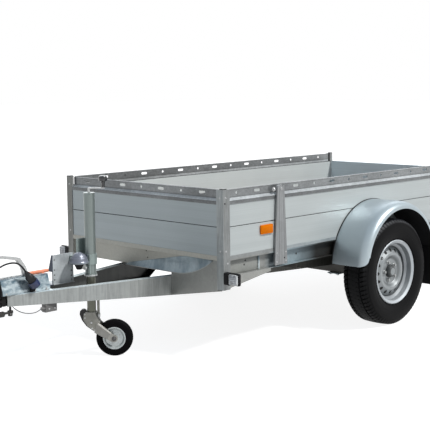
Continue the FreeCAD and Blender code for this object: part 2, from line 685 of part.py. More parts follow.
def drawbar_outline(inset, overrun):
    """Side view of a drawbar member, shrunk by an inset and lengthened past both ends."""
    run = "cos(drawbar_angle)"
    top, low = "drawbar_top - %s" % inset, "drawbar_top + %s" % inset
    tip = "drawbar_tip / %s + %s" % (run, overrun)
    end = "-drawbar_rear / %s - %s" % (run, overrun)
    return [(tip, top), (tip, low + " - drawbar_tip_depth"),
            ("-drawbar_deep_at / %s" % run, low + " - drawbar_depth"),
            ("-drawbar_rise_at / %s" % run, low + " - drawbar_rear_depth"),
            (end, low + " - drawbar_rear_depth"), (end, top)]


def make_drawbar():
    """Two tapered channels in a narrow V, open inwards, that run back to the axle."""
    outer = prism("drawbar_outer", "XZ", drawbar_outline("0", "0"), "-drawbar_flange", "0")
    inner = prism("drawbar_inner", "XZ", drawbar_outline("drawbar_wall", "10"), "-drawbar_flange - 1", "-drawbar_wall")
    for body in (outer, inner):
        place(body, "front", "drawbar_half")
        bind(body, "Placement.Rotation.Angle", "-drawbar_angle")
    trim = block("drawbar_trim", "front + drawbar_tip / 2", "front + drawbar_tip + 50", "-200", "1",
                 "drawbar_top - 200", "drawbar_top + 10")
    left = cut("drawbar_left_cut", outer, [inner, trim])
    node("drawbar_left", left)
    node("drawbar_right", mirrored("drawbar_right_cut", left))


def leaf_station(side):
    """Section of the leaf at a distance from the middle: its upper edge on the sill, its lower one on the arc."""
    low, flat, radius = number("front_sill_bottom"), number("outrigger_flat"), number("outrigger_radius")
    front, rise = number("front"), number("panel_bottom - sill_band - front_sill_bottom - 3")
    foot = low if side < flat else low + radius - math.sqrt(radius ** 2 - (side - flat) ** 2)
    tip = number("leaf_tip_left")
    share = min(max((side - tip) / (number("drawbar_half") + 90 - tip), 0.0), 1.0)
    head = low + 8 + (rise - 8) * share
    slope = number("(front_sill_low_set - front_sill_top_set) / (panel_bottom - steel - front_sill_bottom)")
    head_x = front - number("front_sill_low_set") + slope * (head - low)
    top = Vector(head_x, side, head)
    edge = Vector(front - number("steel") / 2, side, foot - 1)
    thick = (edge - top).cross(Vector(0, 1, 0)).normalize() * number("steel")
    if thick.z > 0:
        thick = -thick
    top.x += slope * thick.z - thick.x + 0.3
    return top, edge, thick


def leaf_wire(side, shrink):
    """Closed section of the leaf's sheet."""
    head, foot, thick = leaf_station(side)
    sag = number("leaf_sag / steel") * shrink * min((head - foot).Length / 90, 1.0)
    middle = (head + foot) / 2 + thick * sag
    edges = [
        Part.Arc(head, middle, foot).toShape(),
        Part.LineSegment(foot, foot + thick).toShape(),
        Part.Arc(foot + thick, middle + thick, head + thick).toShape(),
        Part.LineSegment(head + thick, head).toShape(),
    ]
    return Part.Wire(edges)


def make_leaf(name, tip):
    """Pressed leaf that joins the sill's foot to the outrigger's arc."""
    last = number("half - post_flange - 40")
    steps = 14
    wires = []
    for index in range(steps + 1):
        share = index / steps
        side = tip + (last - tip) * share
        shrink = 0.25 + 0.75 * math.sin(math.pi * min(share, 1.0))
        wires.append(leaf_wire(side, shrink))
    return shaped(name, Part.makeLoft(wires, True, True))


def make_outriggers():
    """Plates from the drawbar to the front posts, with the leaf and the tapered returns along the sides."""
    edge = "half - post_flange"
    slope = "(post_bottom - outrigger_low) / (half - drawbar_half)"
    inner = "drawbar_half + 1.3"
    plate = prism("outrigger_plate", "YZ", [
        (inner, "outrigger_low"), (inner, "front_sill_bottom"),
        ("outrigger_flat", "front_sill_bottom", "outrigger_radius", 1),
        (edge, "outrigger_arc_top"), (edge, "outrigger_low + (%s) * (%s - drawbar_half)" % (slope, edge))],
        "front - steel", "front")
    fall = "(return_end - post_bottom) / return_length"
    side = prism("side_return", "XZ", [
        ("front - post_flange", "post_bottom + (%s) * post_flange" % fall), ("front - return_length", "return_end"),
        ("front - return_length", "sill_bottom"), ("front - post_flange", "sill_bottom")],
        "half - steel", "half")
    band = block("outrigger_band", "front - steel - 1", "front + 1", "0", "half", "panel_bottom - sill_band",
                 "panel_bottom")
    left = cut("outrigger_left_cut", join("outrigger_left_plate", [
        plate, make_leaf("leaf_left", number("leaf_tip_left"))]), [band])
    node("outrigger_left", group("outrigger_left_group", [left, side]))
    arm = prism("outrigger_arm", "YZ", [
        (inner, "outrigger_low"), (inner, "arm_top"), ("arm_flat", "arm_top", "arm_radius", 1),
        (edge, "arm_arc_top"), (edge, "outrigger_low + (%s) * (%s - drawbar_half)" % (slope, edge))],
        "front - steel", "front")
    node("outrigger_right", mirrored("outrigger_right_twin", group("outrigger_right_group", [arm, side])))


def make_coupling():
    """Overrun housing on its head plate, draw tube with gaiter, ball coupling and handbrake."""
    spread = "(drawbar_half - drawbar_tip_half) / drawbar_tip"
    rear_half = "drawbar_tip_half - 3 + (drawbar_tip - plate_rear) * " + spread
    plate = prism("head_plate_body", "XY", [
        ("front + drawbar_tip", "-drawbar_tip_half + 3"), ("front + drawbar_tip", "drawbar_tip_half - 3"),
        ("front + plate_rear", rear_half), ("front + plate_rear", "-(%s)" % rear_half)],
        "drawbar_top", "deck")
    node("head_plate", plate)
    housing = prism("housing_body", "YZ", [
        ("-housing_base", "deck"), ("housing_base", "deck"), ("housing_base", "deck + 14"),
        ("housing_crown", "deck + housing_height"), ("-housing_crown", "deck + housing_height"),
        ("-housing_base", "deck + 14")], "front + housing_rear", "front + housing_front")
    node("overrun_housing", housing)
    tube = rod("draw_tube_rod", "x", "front + housing_front", "0", "draw_axis", "draw_radius", "gaiter_length + 10")
    node("draw_tube", tube)

    folds = int(number("gaiter_folds"))
    step = number("gaiter_length") / (2 * folds)
    bore = number("draw_radius") + number("pin_gap")
    crest, neck = number("gaiter_radius"), number("gaiter_neck")
    profile = [Vector(0, bore, 0)]
    for index in range(2 * folds + 1):
        profile.append(Vector(index * step, crest if index % 2 == 0 else neck, 0))
    profile.append(Vector(2 * folds * step, bore, 0))
    ring = Part.Face(Part.makePolygon(profile + [profile[0]]))
    bellows = ring.revolve(Vector(0, 0, 0), Vector(1, 0, 0), 360)
    bellows.translate(Vector(number("front + housing_front"), 0, number("draw_axis")))
    node("gaiter", shaped("gaiter_bellows", bellows))

    shank_start = "front + housing_front + gaiter_length + 0.3"
    shank = rod("shank", "x", shank_start, "0", "draw_axis", "shank_radius", "ball_x - (%s)" % shank_start)
    dome = ball("dome", "ball_x", "0", "ball_level", "head_radius", 50)
    bore_shank = rod("shank_bore", "x", "front + housing_front", "0", "draw_axis", "draw_radius + pin_gap",
                     "gaiter_length + 10 + pin_gap")
    seat = cone("ball_seat", "ball_x", "0", "ball_level + 10", "ball_radius", "ball_radius / 2", "18")
    mouth = rod("ball_mouth", "z", "ball_x", "0", "ball_level - 80", "ball_radius", "90")
    under = block("under_cut", "ball_x - 90", "ball_x + 90", "-90", "90", "ball_level - 90", "cup_rim")
    node("coupling_head", cut("head", join("head_blank", [shank, dome]), [bore_shank, seat, mouth, under]))
    handle = prism("handle_body", "XZ", [
        ("ball_x - 6", "ball_level + head_radius + 0.3"), ("ball_x + 8", "ball_level + head_radius + 12"),
        ("ball_x - 20", "ball_level + head_radius + 34"), ("ball_x - 120", "ball_level + head_radius + 44"),
        ("ball_x - 122", "ball_level + head_radius + 32"), ("ball_x - 36", "ball_level + head_radius + 20"),
        ("ball_x - 40", "ball_level + head_radius + 0.3")], "-handle_width / 2", "handle_width / 2")
    node("coupling_handle", handle)

    foot = "front + housing_front - lever_set"
    bars = []
    for side, low, high in ((-1, "-lever_half", "lever_bar - lever_half"), (1, "lever_half - lever_bar", "lever_half")):
        bars.append(prism("lever_bar_%d" % side, "XZ", [
            (foot, "crown"), (foot + " + lever_depth * 1.3", "crown"),
            (foot + " + lever_reach * 0.068", "crown + lever_rise * 0.31"),
            (foot + " + lever_reach * 0.141", "crown + lever_rise * 0.615"),
            (foot + " + lever_reach * 0.376", "crown + lever_rise * 0.873 - lever_depth"),
            (foot + " + lever_reach", "crown + lever_rise - lever_depth"),
            (foot + " + lever_reach", "crown + lever_rise"),
            (foot + " + lever_reach * 0.371", "crown + lever_rise * 0.873"),
            (foot + " + lever_reach * 0.122", "crown + lever_rise * 0.718"),
            (foot + " + lever_reach * 0.038", "crown + lever_rise * 0.352")], low, high))
    grip = rod("lever_grip", "y", foot + " + lever_reach", "-lever_half", "crown + lever_rise - lever_depth / 2",
               "lever_depth / 2 + 2", "2 * lever_half")
    base = block("lever_base", foot, foot + " + lever_depth * 1.3", "-lever_half", "lever_half", "crown",
                 "crown + 17")
    brake_rod = rod("brake_rod", "x", foot + " + 10", "0", "crown + brake_rod_radius + 1", "brake_rod_radius",
                    "lever_set - 16")
    node("handbrake_lever", join("lever", bars + [grip, base, brake_rod]))
    strut = rod("strut_rod", "x", foot + " - strut_length - 0.3", "0", "strut_level", "strut_radius", "strut_length")
    clevis = block("strut_clevis", "front + housing_rear + 5", "front + housing_rear + 21", "-8", "8",
                   "crown", "strut_level")
    node("handbrake_strut", join("strut", [strut, clevis]))
    rubber_front = "front + drawbar_tip + 9"
    bumper = prism("bumper", "XZ", [
        (rubber_front, "deck - 0.3"), (rubber_front, "drawbar_top - drawbar_tip_depth + 3"),
        (rubber_front + " + bumper_depth - 8", "drawbar_top - drawbar_tip_depth + 3"),
        (rubber_front + " + bumper_depth", "drawbar_top - drawbar_tip_depth + 15"),
        (rubber_front + " + bumper_depth", "deck - 0.3")], "-drawbar_tip_half + 2", "drawbar_tip_half - 2")

    low = "front + bracket_rear"
    high = "front + bracket_rear + bracket_width"
    face = block("bracket_face", low, high, "-bracket_side - steel", "-bracket_side", "deck - 2", "bracket_top")
    back = prism("bracket_back", "YZ", [
        ("-bracket_side", "bracket_top"), ("-bracket_side", "bracket_top - 90"),
        ("-bracket_side - bracket_return", "bracket_top - 90"), ("-bracket_side - 8", "bracket_top")],
        high + " - steel", high)
    shelf = block("bracket_shelf", low, "front + plate_rear", "-bracket_side - 82", "-bracket_side + 5",
                  "drawbar_top", "deck")
    tools = []
    for column, rows in (("14", (21, 96, 124, 146)), ("bracket_width - 14", (27, 81, 108, 134))):
        for row in rows:
            tools.append(rod("bracket_hole_%s_%d" % (column[:3], row), "y", low + " + " + column,
                             "-bracket_side - steel - 1", "bracket_top - %d" % row, "4.5", "steel + 2"))
    node("perforated_bracket", cut("bracket", join("bracket_blank", [face, back, shelf]), tools))
    return bumper


def make_cable():
    """Lighting cable with its parked plug and holder, breakaway wire, box and safety hook."""
    nose = "front + housing_front"
    body = rod("plug_body", "z", "0", "0", "0", "plug_radius", "plug_length * 0.6")
    grip = cone("plug_grip", "0", "0", "plug_length * 0.6", "plug_radius", "plug_radius * 0.74", "plug_length * 0.14")
    neck = cone("plug_neck", "0", "0", "plug_length * 0.74", "plug_radius * 0.74", "cable_diameter * 0.75",
                "plug_length * 0.26")
    plug = join("plug_parts", [body, grip, neck])
    cup = rod("holder_cup", "z", "0", "0", "-holder_wall - pin_gap", "plug_radius + holder_wall + pin_gap",
              "plug_length * 0.34")
    bore = rod("holder_bore", "z", "0", "0", "-pin_gap", "plug_radius + pin_gap", "plug_length")
    for piece in (plug, cup, bore):
        piece.Placement = FreeCAD.Placement(Vector(), FreeCAD.Rotation(Vector(0, 1, 0), 10))
        bind(piece, "Placement.Rotation.Angle", "plug_tilt")
        bind(piece, "Placement.Base.x", nose + " - plug_set")
        bind(piece, "Placement.Base.y", "plug_side")
        bind(piece, "Placement.Base.z", "plug_level")
    bind(cup, "Placement.Base.x", nose + " - plug_set - (holder_wall + pin_gap) * sin(plug_tilt)")
    bind(cup, "Placement.Base.z", "plug_level - (holder_wall + pin_gap) * cos(plug_tilt)")
    bind(bore, "Placement.Base.x", nose + " - plug_set - pin_gap * sin(plug_tilt)")
    bind(bore, "Placement.Base.z", "plug_level - pin_gap * cos(plug_tilt)")
    foot = block("holder_foot", nose + " - plug_set - 9", nose + " - plug_set + 19", "plug_side - 21",
                 "plug_side - 10", "deck", "plug_level + 4")
    holder = cut("holder", join("holder_blank", [cup, foot]), [bore])
    node("plug", plug)

    top = ("plug_length * sin(plug_tilt)", "plug_length * cos(plug_tilt)")
    end = (nose + " - plug_set + " + top[0], "plug_side", "plug_level + " + top[1])
    route = [("-2", "22", "364"), ("41", "30", "361"), ("81", "54", "372"), ("105", "76", "403"),
             ("111", "82", "452"), ("98", "79", "502"), ("69", "75", "545"), ("26", "73", "572"),
             ("-22", "73", "583"), ("-67", "74", "580"), ("-99", "74", "560")]
    route = [("%s + (%s)" % (nose, x), y, z) for x, y, z in route] + [end]
    node("lighting_cable", cord("cable", route, "cable_diameter"))
    wire = [("-62", "38", "351.6"), ("-75", "42", "336"), ("-105", "50", "316"), ("-140", "58", "305"),
            ("-175", "66", "304"), ("-198", "70", "311"), ("-211.2", "72", "319")]
    node("breakaway_wire", cord("wire", [("%s + (%s)" % (nose, x), y, z) for x, y, z in wire], "wire_diameter"))

    slope = "(drawbar_depth - drawbar_tip_depth) / (drawbar_tip + drawbar_deep_at)"
    under = "drawbar_top - drawbar_tip_depth - 0.4 - (%s) * (%s)"
    box = prism("cable_box", "XZ", [
        (nose + " - 305", "box_low"), (nose + " - 233", "box_low"),
        (nose + " - 233", under % (slope, "drawbar_tip - housing_front + 233")),
        (nose + " - 305", under % (slope, "drawbar_tip - housing_front + 305"))], "50", "82")
    knob = rod("box_knob", "x", nose + " - 234", "72", "319", "9", "21")
    hook_x = nose + " - 57"
    bolt = rod("hook_bolt", "z", hook_x, "24", "box_low + 16", "bolt_radius",
               "drawbar_top - drawbar_tip_depth - 1.8 - box_low - 16")
    arm = block("hook_arm", hook_x + " - 13", hook_x + " + 67", "17", "31", "box_low + 18", "box_low + 28")
    node("underside_fittings", group("fittings", [join("box_with_knob", [box, knob]), join("hook", [bolt, arm])]))
    return holder


def make_jockey():
    """Jockey wheel: clamped outer tube with crank, sliding inner tube, swivelling fork and wheel."""
    bore = "leg_radius + leg_gap"
    tube = rod("stem_tube", "z", "stem_x", "jockey_side", "stem_bottom", "stem_radius", "stem_top - stem_bottom")
    collar = rod("stem_collar", "z", "stem_x", "jockey_side", "stem_bottom", "collar_radius", "14")
    cavity = rod("stem_bore", "z", "stem_x", "jockey_side", "stem_bottom - 1", bore, "stem_top - stem_bottom - 7")
    node("jockey_outer_tube", cut("stem", join("stem_blank", [tube, collar]), [cavity]))

    ring = rod("clamp_ring", "z", "stem_x", "jockey_side", "clamp_level", "stem_radius + clamp_wall", "clamp_height")
    arm = block("clamp_arm", "stem_x + 12", "front + bracket_rear + 24", "-bracket_side", "jockey_side - 14",
                "bell_level", "clamp_level + clamp_height - 6")
    plate = block("clamp_plate", "stem_x + 3", "stem_x + 59", "-4", "4", "clamp_level", "clamp_level + 139")
    bell_x, bell_y = "stem_x + bell_forward", "jockey_side + bell_side"
    rim = rod("bell_rim", "z", bell_x, bell_y, "bell_level", "bell_radius", "8")
    skirt = cone("bell_skirt", bell_x, bell_y, "bell_level + 8", "bell_radius * 0.9", "bell_radius * 0.8", "20")
    crown = ball("bell_crown", bell_x, bell_y, "bell_level + 16", "bell_radius * 0.81", 70)
    tooth = rod("clamp_bar", "z", "stem_x + 24", "jockey_side + 24", "stem_bottom + 14", "5", "105")
    above = block("bell_floor", bell_x + " - 60", bell_x + " + 60", bell_y + " - 60", bell_y + " + 60",
                  "bell_level - 40", "bell_level")
    clearance = rod("clamp_bore", "z", "stem_x", "jockey_side", "clamp_level - 70", "stem_radius + pin_gap", "200")
    head = cut("bell_head", join("bell_parts", [rim, skirt, crown]), [above])
    node("jockey_clamp", cut("clamp", join("clamp_blank", [ring, arm, plate, head, tooth]), [clearance]))
    boot = cone("clamp_boot", bell_x, bell_y, "bell_level - 34", "14", "28", "33.7")

    hub = rod("crank_hub", "z", "stem_x", "jockey_side", "stem_top", "7", "27")
    arm_bar = block("crank_arm", "0", "crank_reach + 8", "-6", "6", "stem_top + 22", "stem_top + 29")
    place(arm_bar, "0", "-6", "stem_top + 22")
    place(arm_bar, "stem_x + 6 * sin(jockey_turn)", "jockey_side - 6 * cos(jockey_turn)", "stem_top + 22")
    bind(arm_bar, "Placement.Rotation.Angle", "jockey_turn")
    node("jockey_crank", join("crank", [hub, arm_bar]))
    knob_x = "stem_x + crank_reach * cos(jockey_turn)"
    knob_y = "jockey_side + crank_reach * sin(jockey_turn)"
    knob = join("crank_knob", [
        rod("knob_neck", "z", knob_x, knob_y, "stem_top + 29", "crank_neck_radius", "32"),
        cone("knob_flare", knob_x, knob_y, "stem_top + 57", "crank_neck_radius", "crank_knob_radius", "8"),
        rod("knob_cap", "z", knob_x, knob_y, "stem_top + 65", "crank_knob_radius", "20"),
        cone("knob_crown", knob_x, knob_y, "stem_top + 85", "crank_knob_radius", "crank_knob_radius * 0.7", "8")])
    node("crank_knob", knob)

    leg = rod("leg_tube", "z", "stem_x", "jockey_side", "leg_bottom", "leg_radius", "leg_top - leg_bottom")
    socket = rod("kingpin_bore", "z", "stem_x", "jockey_side", "leg_bottom - 1", "kingpin_radius + pin_gap",
                 "kingpin_length + 2")
    node("jockey_inner_tube", cut("leg", leg, [socket]))

    yoke_top = "leg_bottom - pin_gap"
    inner = "jockey_width / 2 + cheek_gap"
    outer = inner + " + cheek_thick"
    cast = prism("fork_cast", "XZ", [
        ("-30", yoke_top), ("-40", "jockey_radius + 136"), ("-42", "jockey_radius + 105"),
        ("-20", "jockey_radius + 70"), ("trail - 101", "jockey_radius + 37"), ("trail - 85", "jockey_radius + 65"),
        ("trail - 75", "jockey_radius + 85"), ("30", "jockey_radius + 122"), ("22", yoke_top)],
        "-(%s) - 1" % inner, inner + " + 1")
    cheeks = []
    for side, first, last, edge in ((-1, "-(%s)" % outer, "-(%s)" % inner, "-(%s) - 13" % outer),
                                    (1, inner, outer, outer + " + 13")):
        cheeks.append(prism("fork_cheek_%d" % side, "XZ", [
            ("trail - 106", "jockey_radius + 34"), ("trail - 17", "jockey_radius - 16"),
            ("trail", "jockey_radius - 20", "20", 1), ("trail + 20", "jockey_radius", "20", 1),
            ("trail", "jockey_radius + 20"), ("trail - 14", "jockey_radius + 32"),
            ("trail - 75", "jockey_radius + 82"), ("trail - 88", "jockey_radius + 92")], first, last))
        strip_ends = (edge, first + " + 1") if side < 0 else (last + " - 1", edge)
        cheeks.append(prism("fork_flange_%d" % side, "XZ", [
            ("trail - 82", "jockey_radius + 87"), ("trail - 85", "jockey_radius + 82"),
            ("trail - 17", "jockey_radius + 28"), ("trail - 14", "jockey_radius + 32")], *strip_ends))
    axle = rod("fork_axle", "y", "trail", "-(%s) - 8" % outer, "jockey_radius", "jockey_axle_radius",
               "2 * (%s) + 16" % outer)
    latch = rod("fork_latch", "z", "37", "0", "jockey_radius + 116", "7", "114")
    latch_end = rod("fork_latch_end", "z", "37", "0", "jockey_radius + 116", "9", "18")
    latch_link = block("fork_latch_link", "18", "37", "-5", "5", "jockey_radius + 118", "jockey_radius + 134")
    kingpin = rod("kingpin", "z", "0", "0", yoke_top + " - 5", "kingpin_radius", "kingpin_length + 5")
    fork = join("fork_parts", [cast] + cheeks + [axle, latch, latch_end, latch_link, kingpin])
    node("jockey_fork", fork)
    hoop = prism("fork_hoop", "XZ", [
        ("-30", "jockey_radius + 150"), ("-38", "jockey_radius + 157"), ("-52", "jockey_radius + 156"),
        ("-62", "jockey_radius + 147"), ("-64", "jockey_radius + 130"), ("-52", "jockey_radius + 98"),
        ("-28", "jockey_radius + 65"), ("4", "jockey_radius + 42"), ("trail - 107", "jockey_radius + 36"),
        ("trail - 100", "jockey_radius + 40"), ("0", "jockey_radius + 80"), ("-20", yoke_top + " - 10"),
        ("-30", yoke_top)], "-14", "14")
    band = cut("fork_band", hoop, [cast])
    node("jockey_fork_band", band)
    for piece in (fork, band):
        place(piece, "stem_x", "jockey_side")
        bind(piece, "Placement.Rotation.Angle", "jockey_turn")

    tyre = turned("jockey_tyre_ring", [
        ("-jockey_width / 2", "jockey_rim_radius + pin_gap"), ("-jockey_width / 2", "jockey_radius - 12"),
        ("-jockey_width / 2 + 9", "jockey_radius"), ("jockey_width / 2 - 9", "jockey_radius"),
        ("jockey_width / 2", "jockey_radius - 12"), ("jockey_width / 2", "jockey_rim_radius + pin_gap")])
    hub_half = "jockey_width / 2 + cheek_gap - 1"
    rim = turned("jockey_rim_ring", [
        ("-(%s)" % hub_half, "jockey_axle_radius + pin_gap"), ("-(%s)" % hub_half, "14"), ("-18", "17"),
        ("-14", "jockey_rim_radius - 14"), ("-jockey_width / 2 + 2", "jockey_rim_radius - 8"),
        ("-jockey_width / 2 + 2", "jockey_rim_radius"), ("jockey_width / 2 - 2", "jockey_rim_radius"),
        ("jockey_width / 2 - 2", "jockey_rim_radius - 8"), ("14", "jockey_rim_radius - 14"), ("18", "17"),
        (hub_half, "14"), (hub_half, "jockey_axle_radius + pin_gap")])
    for name, body in (("jockey_tyre", tyre), ("jockey_rim", rim)):
        place(body, "stem_x + trail * cos(jockey_turn)", "jockey_side + trail * sin(jockey_turn)", "jockey_radius")
        bind(body, "Placement.Rotation.Angle", "jockey_turn")
        node(name, body)
    return boot


def make_axle():
    """Rubber-sprung axle: square beam, trailing arms, stub axles and the brakes' back plates."""
    beam = block("beam", "front - axle_forward - beam_size / 2", "front - axle_forward + beam_size / 2",
                 "-beam_half", "beam_half", "drawbar_top - drawbar_rear_depth - beam_size",
                 "drawbar_top - drawbar_rear_depth")
    node("axle_beam", beam)
    beam_x = "front - axle_forward"
    beam_low = "drawbar_top - drawbar_rear_depth - beam_size"
    outer = "beam_half + arm_thick"
    arm = prism("arm_plate", "XZ", [
        (beam_x + " + 36", beam_low + " - 6"), (beam_x + " + 36", beam_low + " + beam_size + 6"),
        (beam_x + " - 36", beam_low + " + beam_size + 6"), ("wheel_x + 6", "axle_level + 32"),
        ("wheel_x - 22", "axle_level + 22"), ("wheel_x - 30", "axle_level"), ("wheel_x - 22", "axle_level - 22"),
        ("wheel_x + 6", "axle_level - 32"), (beam_x + " - 30", beam_low + " - 6")], "beam_half", outer)
    plate_end = "drum_inner - brake_gap"
    boss = rod("arm_boss", "y", "wheel_x", outer, "axle_level", "boss_radius", "%s - (%s)" % (plate_end, outer))
    disc = rod("back_plate", "y", "wheel_x", plate_end + " - backplate_thick", "axle_level", "drum_radius",
               "backplate_thick")
    stub = rod("stub", "y", "wheel_x", outer, "axle_level", "stub_radius", "stub_end - (%s)" % outer)
    left = join("arm_left", [arm, boss, disc, stub])
    node("axle_arms", group("arms", [left, mirrored("arm_right", left)]))


def make_wheels():
    """Road wheels: tyre, steel rim with vent holes, and the hub with its brake drum."""
    def rim_offset(inset, radius):
        return "flange_plane - (%s)" % inset, radius

    steel = "rim_steel"
    shoulder = "seat_radius - 4"
    barrel = turned("rim_barrel", [
        rim_offset("0", "flange_radius - 5"), rim_offset("3", "flange_radius"), rim_offset("8", "flange_radius - 2"),
        rim_offset("14", "seat_radius"), rim_offset("40", shoulder), rim_offset("50", "well_radius"),
        rim_offset("88", "well_radius"), rim_offset("110", shoulder), rim_offset("rim_width - 14", "seat_radius"),
        rim_offset("rim_width - 8", "flange_radius - 2"), rim_offset("rim_width - 3", "flange_radius"),
        rim_offset("rim_width", "flange_radius - 5"),
        rim_offset("rim_width - 10", "seat_radius - " + steel), rim_offset("112", shoulder + " - " + steel),
        rim_offset("90", "well_radius - " + steel), rim_offset("48", "well_radius - " + steel),
        rim_offset("38", shoulder + " - " + steel), rim_offset("10", "seat_radius - " + steel)])
    disc = turned("rim_disc", [
        ("disc_plane", "hub_radius + pin_gap"), ("disc_plane", "78"), ("disc_plane + 16", "100"),
        ("disc_plane + 16", "110"), ("disc_plane - 14", "well_radius - 2"),
        ("disc_plane - 14 + 1.2 * rim_steel", "well_radius - 2"),
        ("disc_plane + 16 + rim_steel", "112"), ("disc_plane + 16 + rim_steel", "98"),
        ("disc_plane + rim_steel", "76"), ("disc_plane + rim_steel", "hub_radius + pin_gap")])
    for body in (barrel, disc):
        place(body, "wheel_x", "0", "axle_level")
    vents = []
    for index in range(int(number("vent_count"))):
        turn = "360 * %d / vent_count" % index
        vents.append(rod("vent_%d" % index, "y", "wheel_x + vent_circle * sin(%s)" % turn, "disc_plane - 30",
                         "axle_level + vent_circle * cos(%s)" % turn, "vent_radius", "60"))
    rim = cut("rim", join("rim_blank", [barrel, disc]), [group("vents", vents)])
    node("rim_left", rim)
    node("rim_right", mirrored("rim_twin", rim))

    tyre = turned("tyre_ring", [
        ("tyre_middle - tread_width / 2", "wheel_radius - 4"), ("tyre_middle - tread_width / 4", "wheel_radius"),
        ("tyre_middle + tread_width / 4", "wheel_radius"), ("tyre_middle + tread_width / 2", "wheel_radius - 4"),
        ("tyre_middle + tyre_half - 8", "wheel_radius - 28"), ("tyre_middle + tyre_half", "wheel_radius - 64"),
        ("tyre_middle + tyre_half - 3", "wheel_radius - 90"), ("flange_plane - 2", "flange_radius + 6"),
        ("flange_plane - 9", "flange_radius - 1"), ("flange_plane - 15", "seat_radius + pin_gap"),
        ("flange_plane - 36", "seat_radius - 1.6"), ("flange_plane - 40", "flange_radius + 8"),
        ("tyre_middle + tyre_half - 16", "wheel_radius - 62"), ("tyre_middle + tread_width / 2", "wheel_radius - 22"),
        ("tyre_middle - tread_width / 2", "wheel_radius - 22"), ("tyre_middle - tyre_half + 16", "wheel_radius - 62"),
        ("rim_inner + 40", "flange_radius + 8"), ("rim_inner + 36", "seat_radius - 1.6"),
        ("rim_inner + 15", "seat_radius + pin_gap"), ("rim_inner + 9", "flange_radius - 1"),
        ("rim_inner + 2", "flange_radius + 6"), ("tyre_middle - tyre_half + 3", "wheel_radius - 90"),
        ("tyre_middle - tyre_half", "wheel_radius - 64"), ("tyre_middle - tyre_half + 8", "wheel_radius - 28")])
    place(tyre, "wheel_x", "0", "axle_level")
    node("tyre_left", tyre)
    node("tyre_right", mirrored("tyre_twin", tyre))

    bore = "stub_radius + pin_gap"
    hub = turned("hub_body", [
        ("drum_inner", bore), ("drum_inner", "drum_radius"), ("disc_plane - 10", "drum_radius"),
        ("disc_plane", "drum_radius - 26"), ("disc_plane", "hub_radius"), ("hub_cap - 4", "hub_radius"),
        ("hub_cap", "hub_radius - 5"), ("hub_cap", "0"), ("stub_end + 4", "0"), ("stub_end + 4", bore)])
    place(hub, "wheel_x", "0", "axle_level")
    node("hub_left", hub)
    node("hub_right", mirrored("hub_twin", hub))


def make_guards():
    """Mudguards over the wheels, with their flaps."""
    edge, thick = "guard_half - guard_shoulder", "guard_thick"
    shell = turned("guard_shell", [
        ("half", "guard_radius - 26"), ("half", "guard_radius"), (edge, "guard_radius", "guard_shoulder", -1),
        ("guard_half", "guard_radius - guard_shoulder"), ("guard_half", "guard_radius - guard_shoulder - guard_lip"),
        ("guard_half - " + thick, "guard_radius - guard_shoulder - guard_lip"),
        ("guard_half - " + thick, "guard_radius - guard_shoulder", "guard_shoulder - " + thick, 1),
        (edge, "guard_radius - " + thick), ("half + " + thick, "guard_radius - " + thick),
        ("half + " + thick, "guard_radius - 26")], "guard_arc")
    place(shell, "guard_x", "0", "guard_level")
    node("mudguard_left", shell)
    node("mudguard_right", mirrored("guard_twin", shell))
    reach = "sqrt((guard_radius - guard_thick)^2 - (flap_top - guard_level)^2) - pin_gap"
    flap = block("flap", "guard_x - (%s)" % reach, "guard_x - (%s) + flap_thick" % reach, "flap_inner",
                 "flap_inner + flap_width", "flap_bottom", "flap_top")
    node("mudflaps", group("flaps", [flap, mirrored("flap_twin", flap)]))


def rounded(x0, x1, y0, y1, radius):
    """Outline of a rectangle with round corners."""
    left, right = "%s + %s" % (x0, radius), "%s - %s" % (x1, radius)
    low, high = "%s + %s" % (y0, radius), "%s - %s" % (y1, radius)
    return [(left, y0), (right, y0, radius, 1), (x1, low), (x1, high, radius, 1), (right, y1),
            (left, y1, radius, 1), (x0, high), (x0, low, radius, 1)]


def make_lamps():
    """Front markers, side reflectors, rear lamps and the blank number plate."""
    base = prism("marker_base_block", "XZ", rounded("front - marker_rear", "front + marker_front", "marker_low",
                                                    "marker_high", "9"), "half", "half + marker_base")
    lens = prism("marker_lens", "XZ", rounded("front - marker_rear + 2", "front + marker_front - 2",
                                              "marker_low + 2", "marker_high - 2", "8"),
                 "half + marker_base", "half + marker_reach")
    node("front_markers", group("markers", [base, mirrored("marker_base_twin", base)]))
    node("front_marker_lenses", group("lenses", [lens, mirrored("marker_lens_twin", lens)]))
    glass = prism("reflector", "XZ", rounded("front - reflector_front - reflector_length", "front - reflector_front",
                                             "reflector_low", "reflector_low + reflector_height", "6"),
                  "panel_out", "panel_out + reflector_depth")
    node("side_reflectors", group("reflectors", [glass, mirrored("reflector_twin", glass)]))
    lamp = prism("rear_lamp", "YZ", rounded("lamp_edge - lamp_width", "lamp_edge", "sill_bottom - lamp_height - 3",
                                            "sill_bottom - 3", "8"), "rear", "rear + lamp_depth")
    node("rear_lamps", group("lamps", [lamp, mirrored("rear_lamp_twin", lamp)]))
    plate = prism("plate", "YZ", rounded("-plate_length / 2", "plate_length / 2", "sill_bottom - plate_height - 2",
                                         "sill_bottom - 2", "6"), "rear + lamp_depth - 3", "rear + lamp_depth")
    node("number_plate", plate)


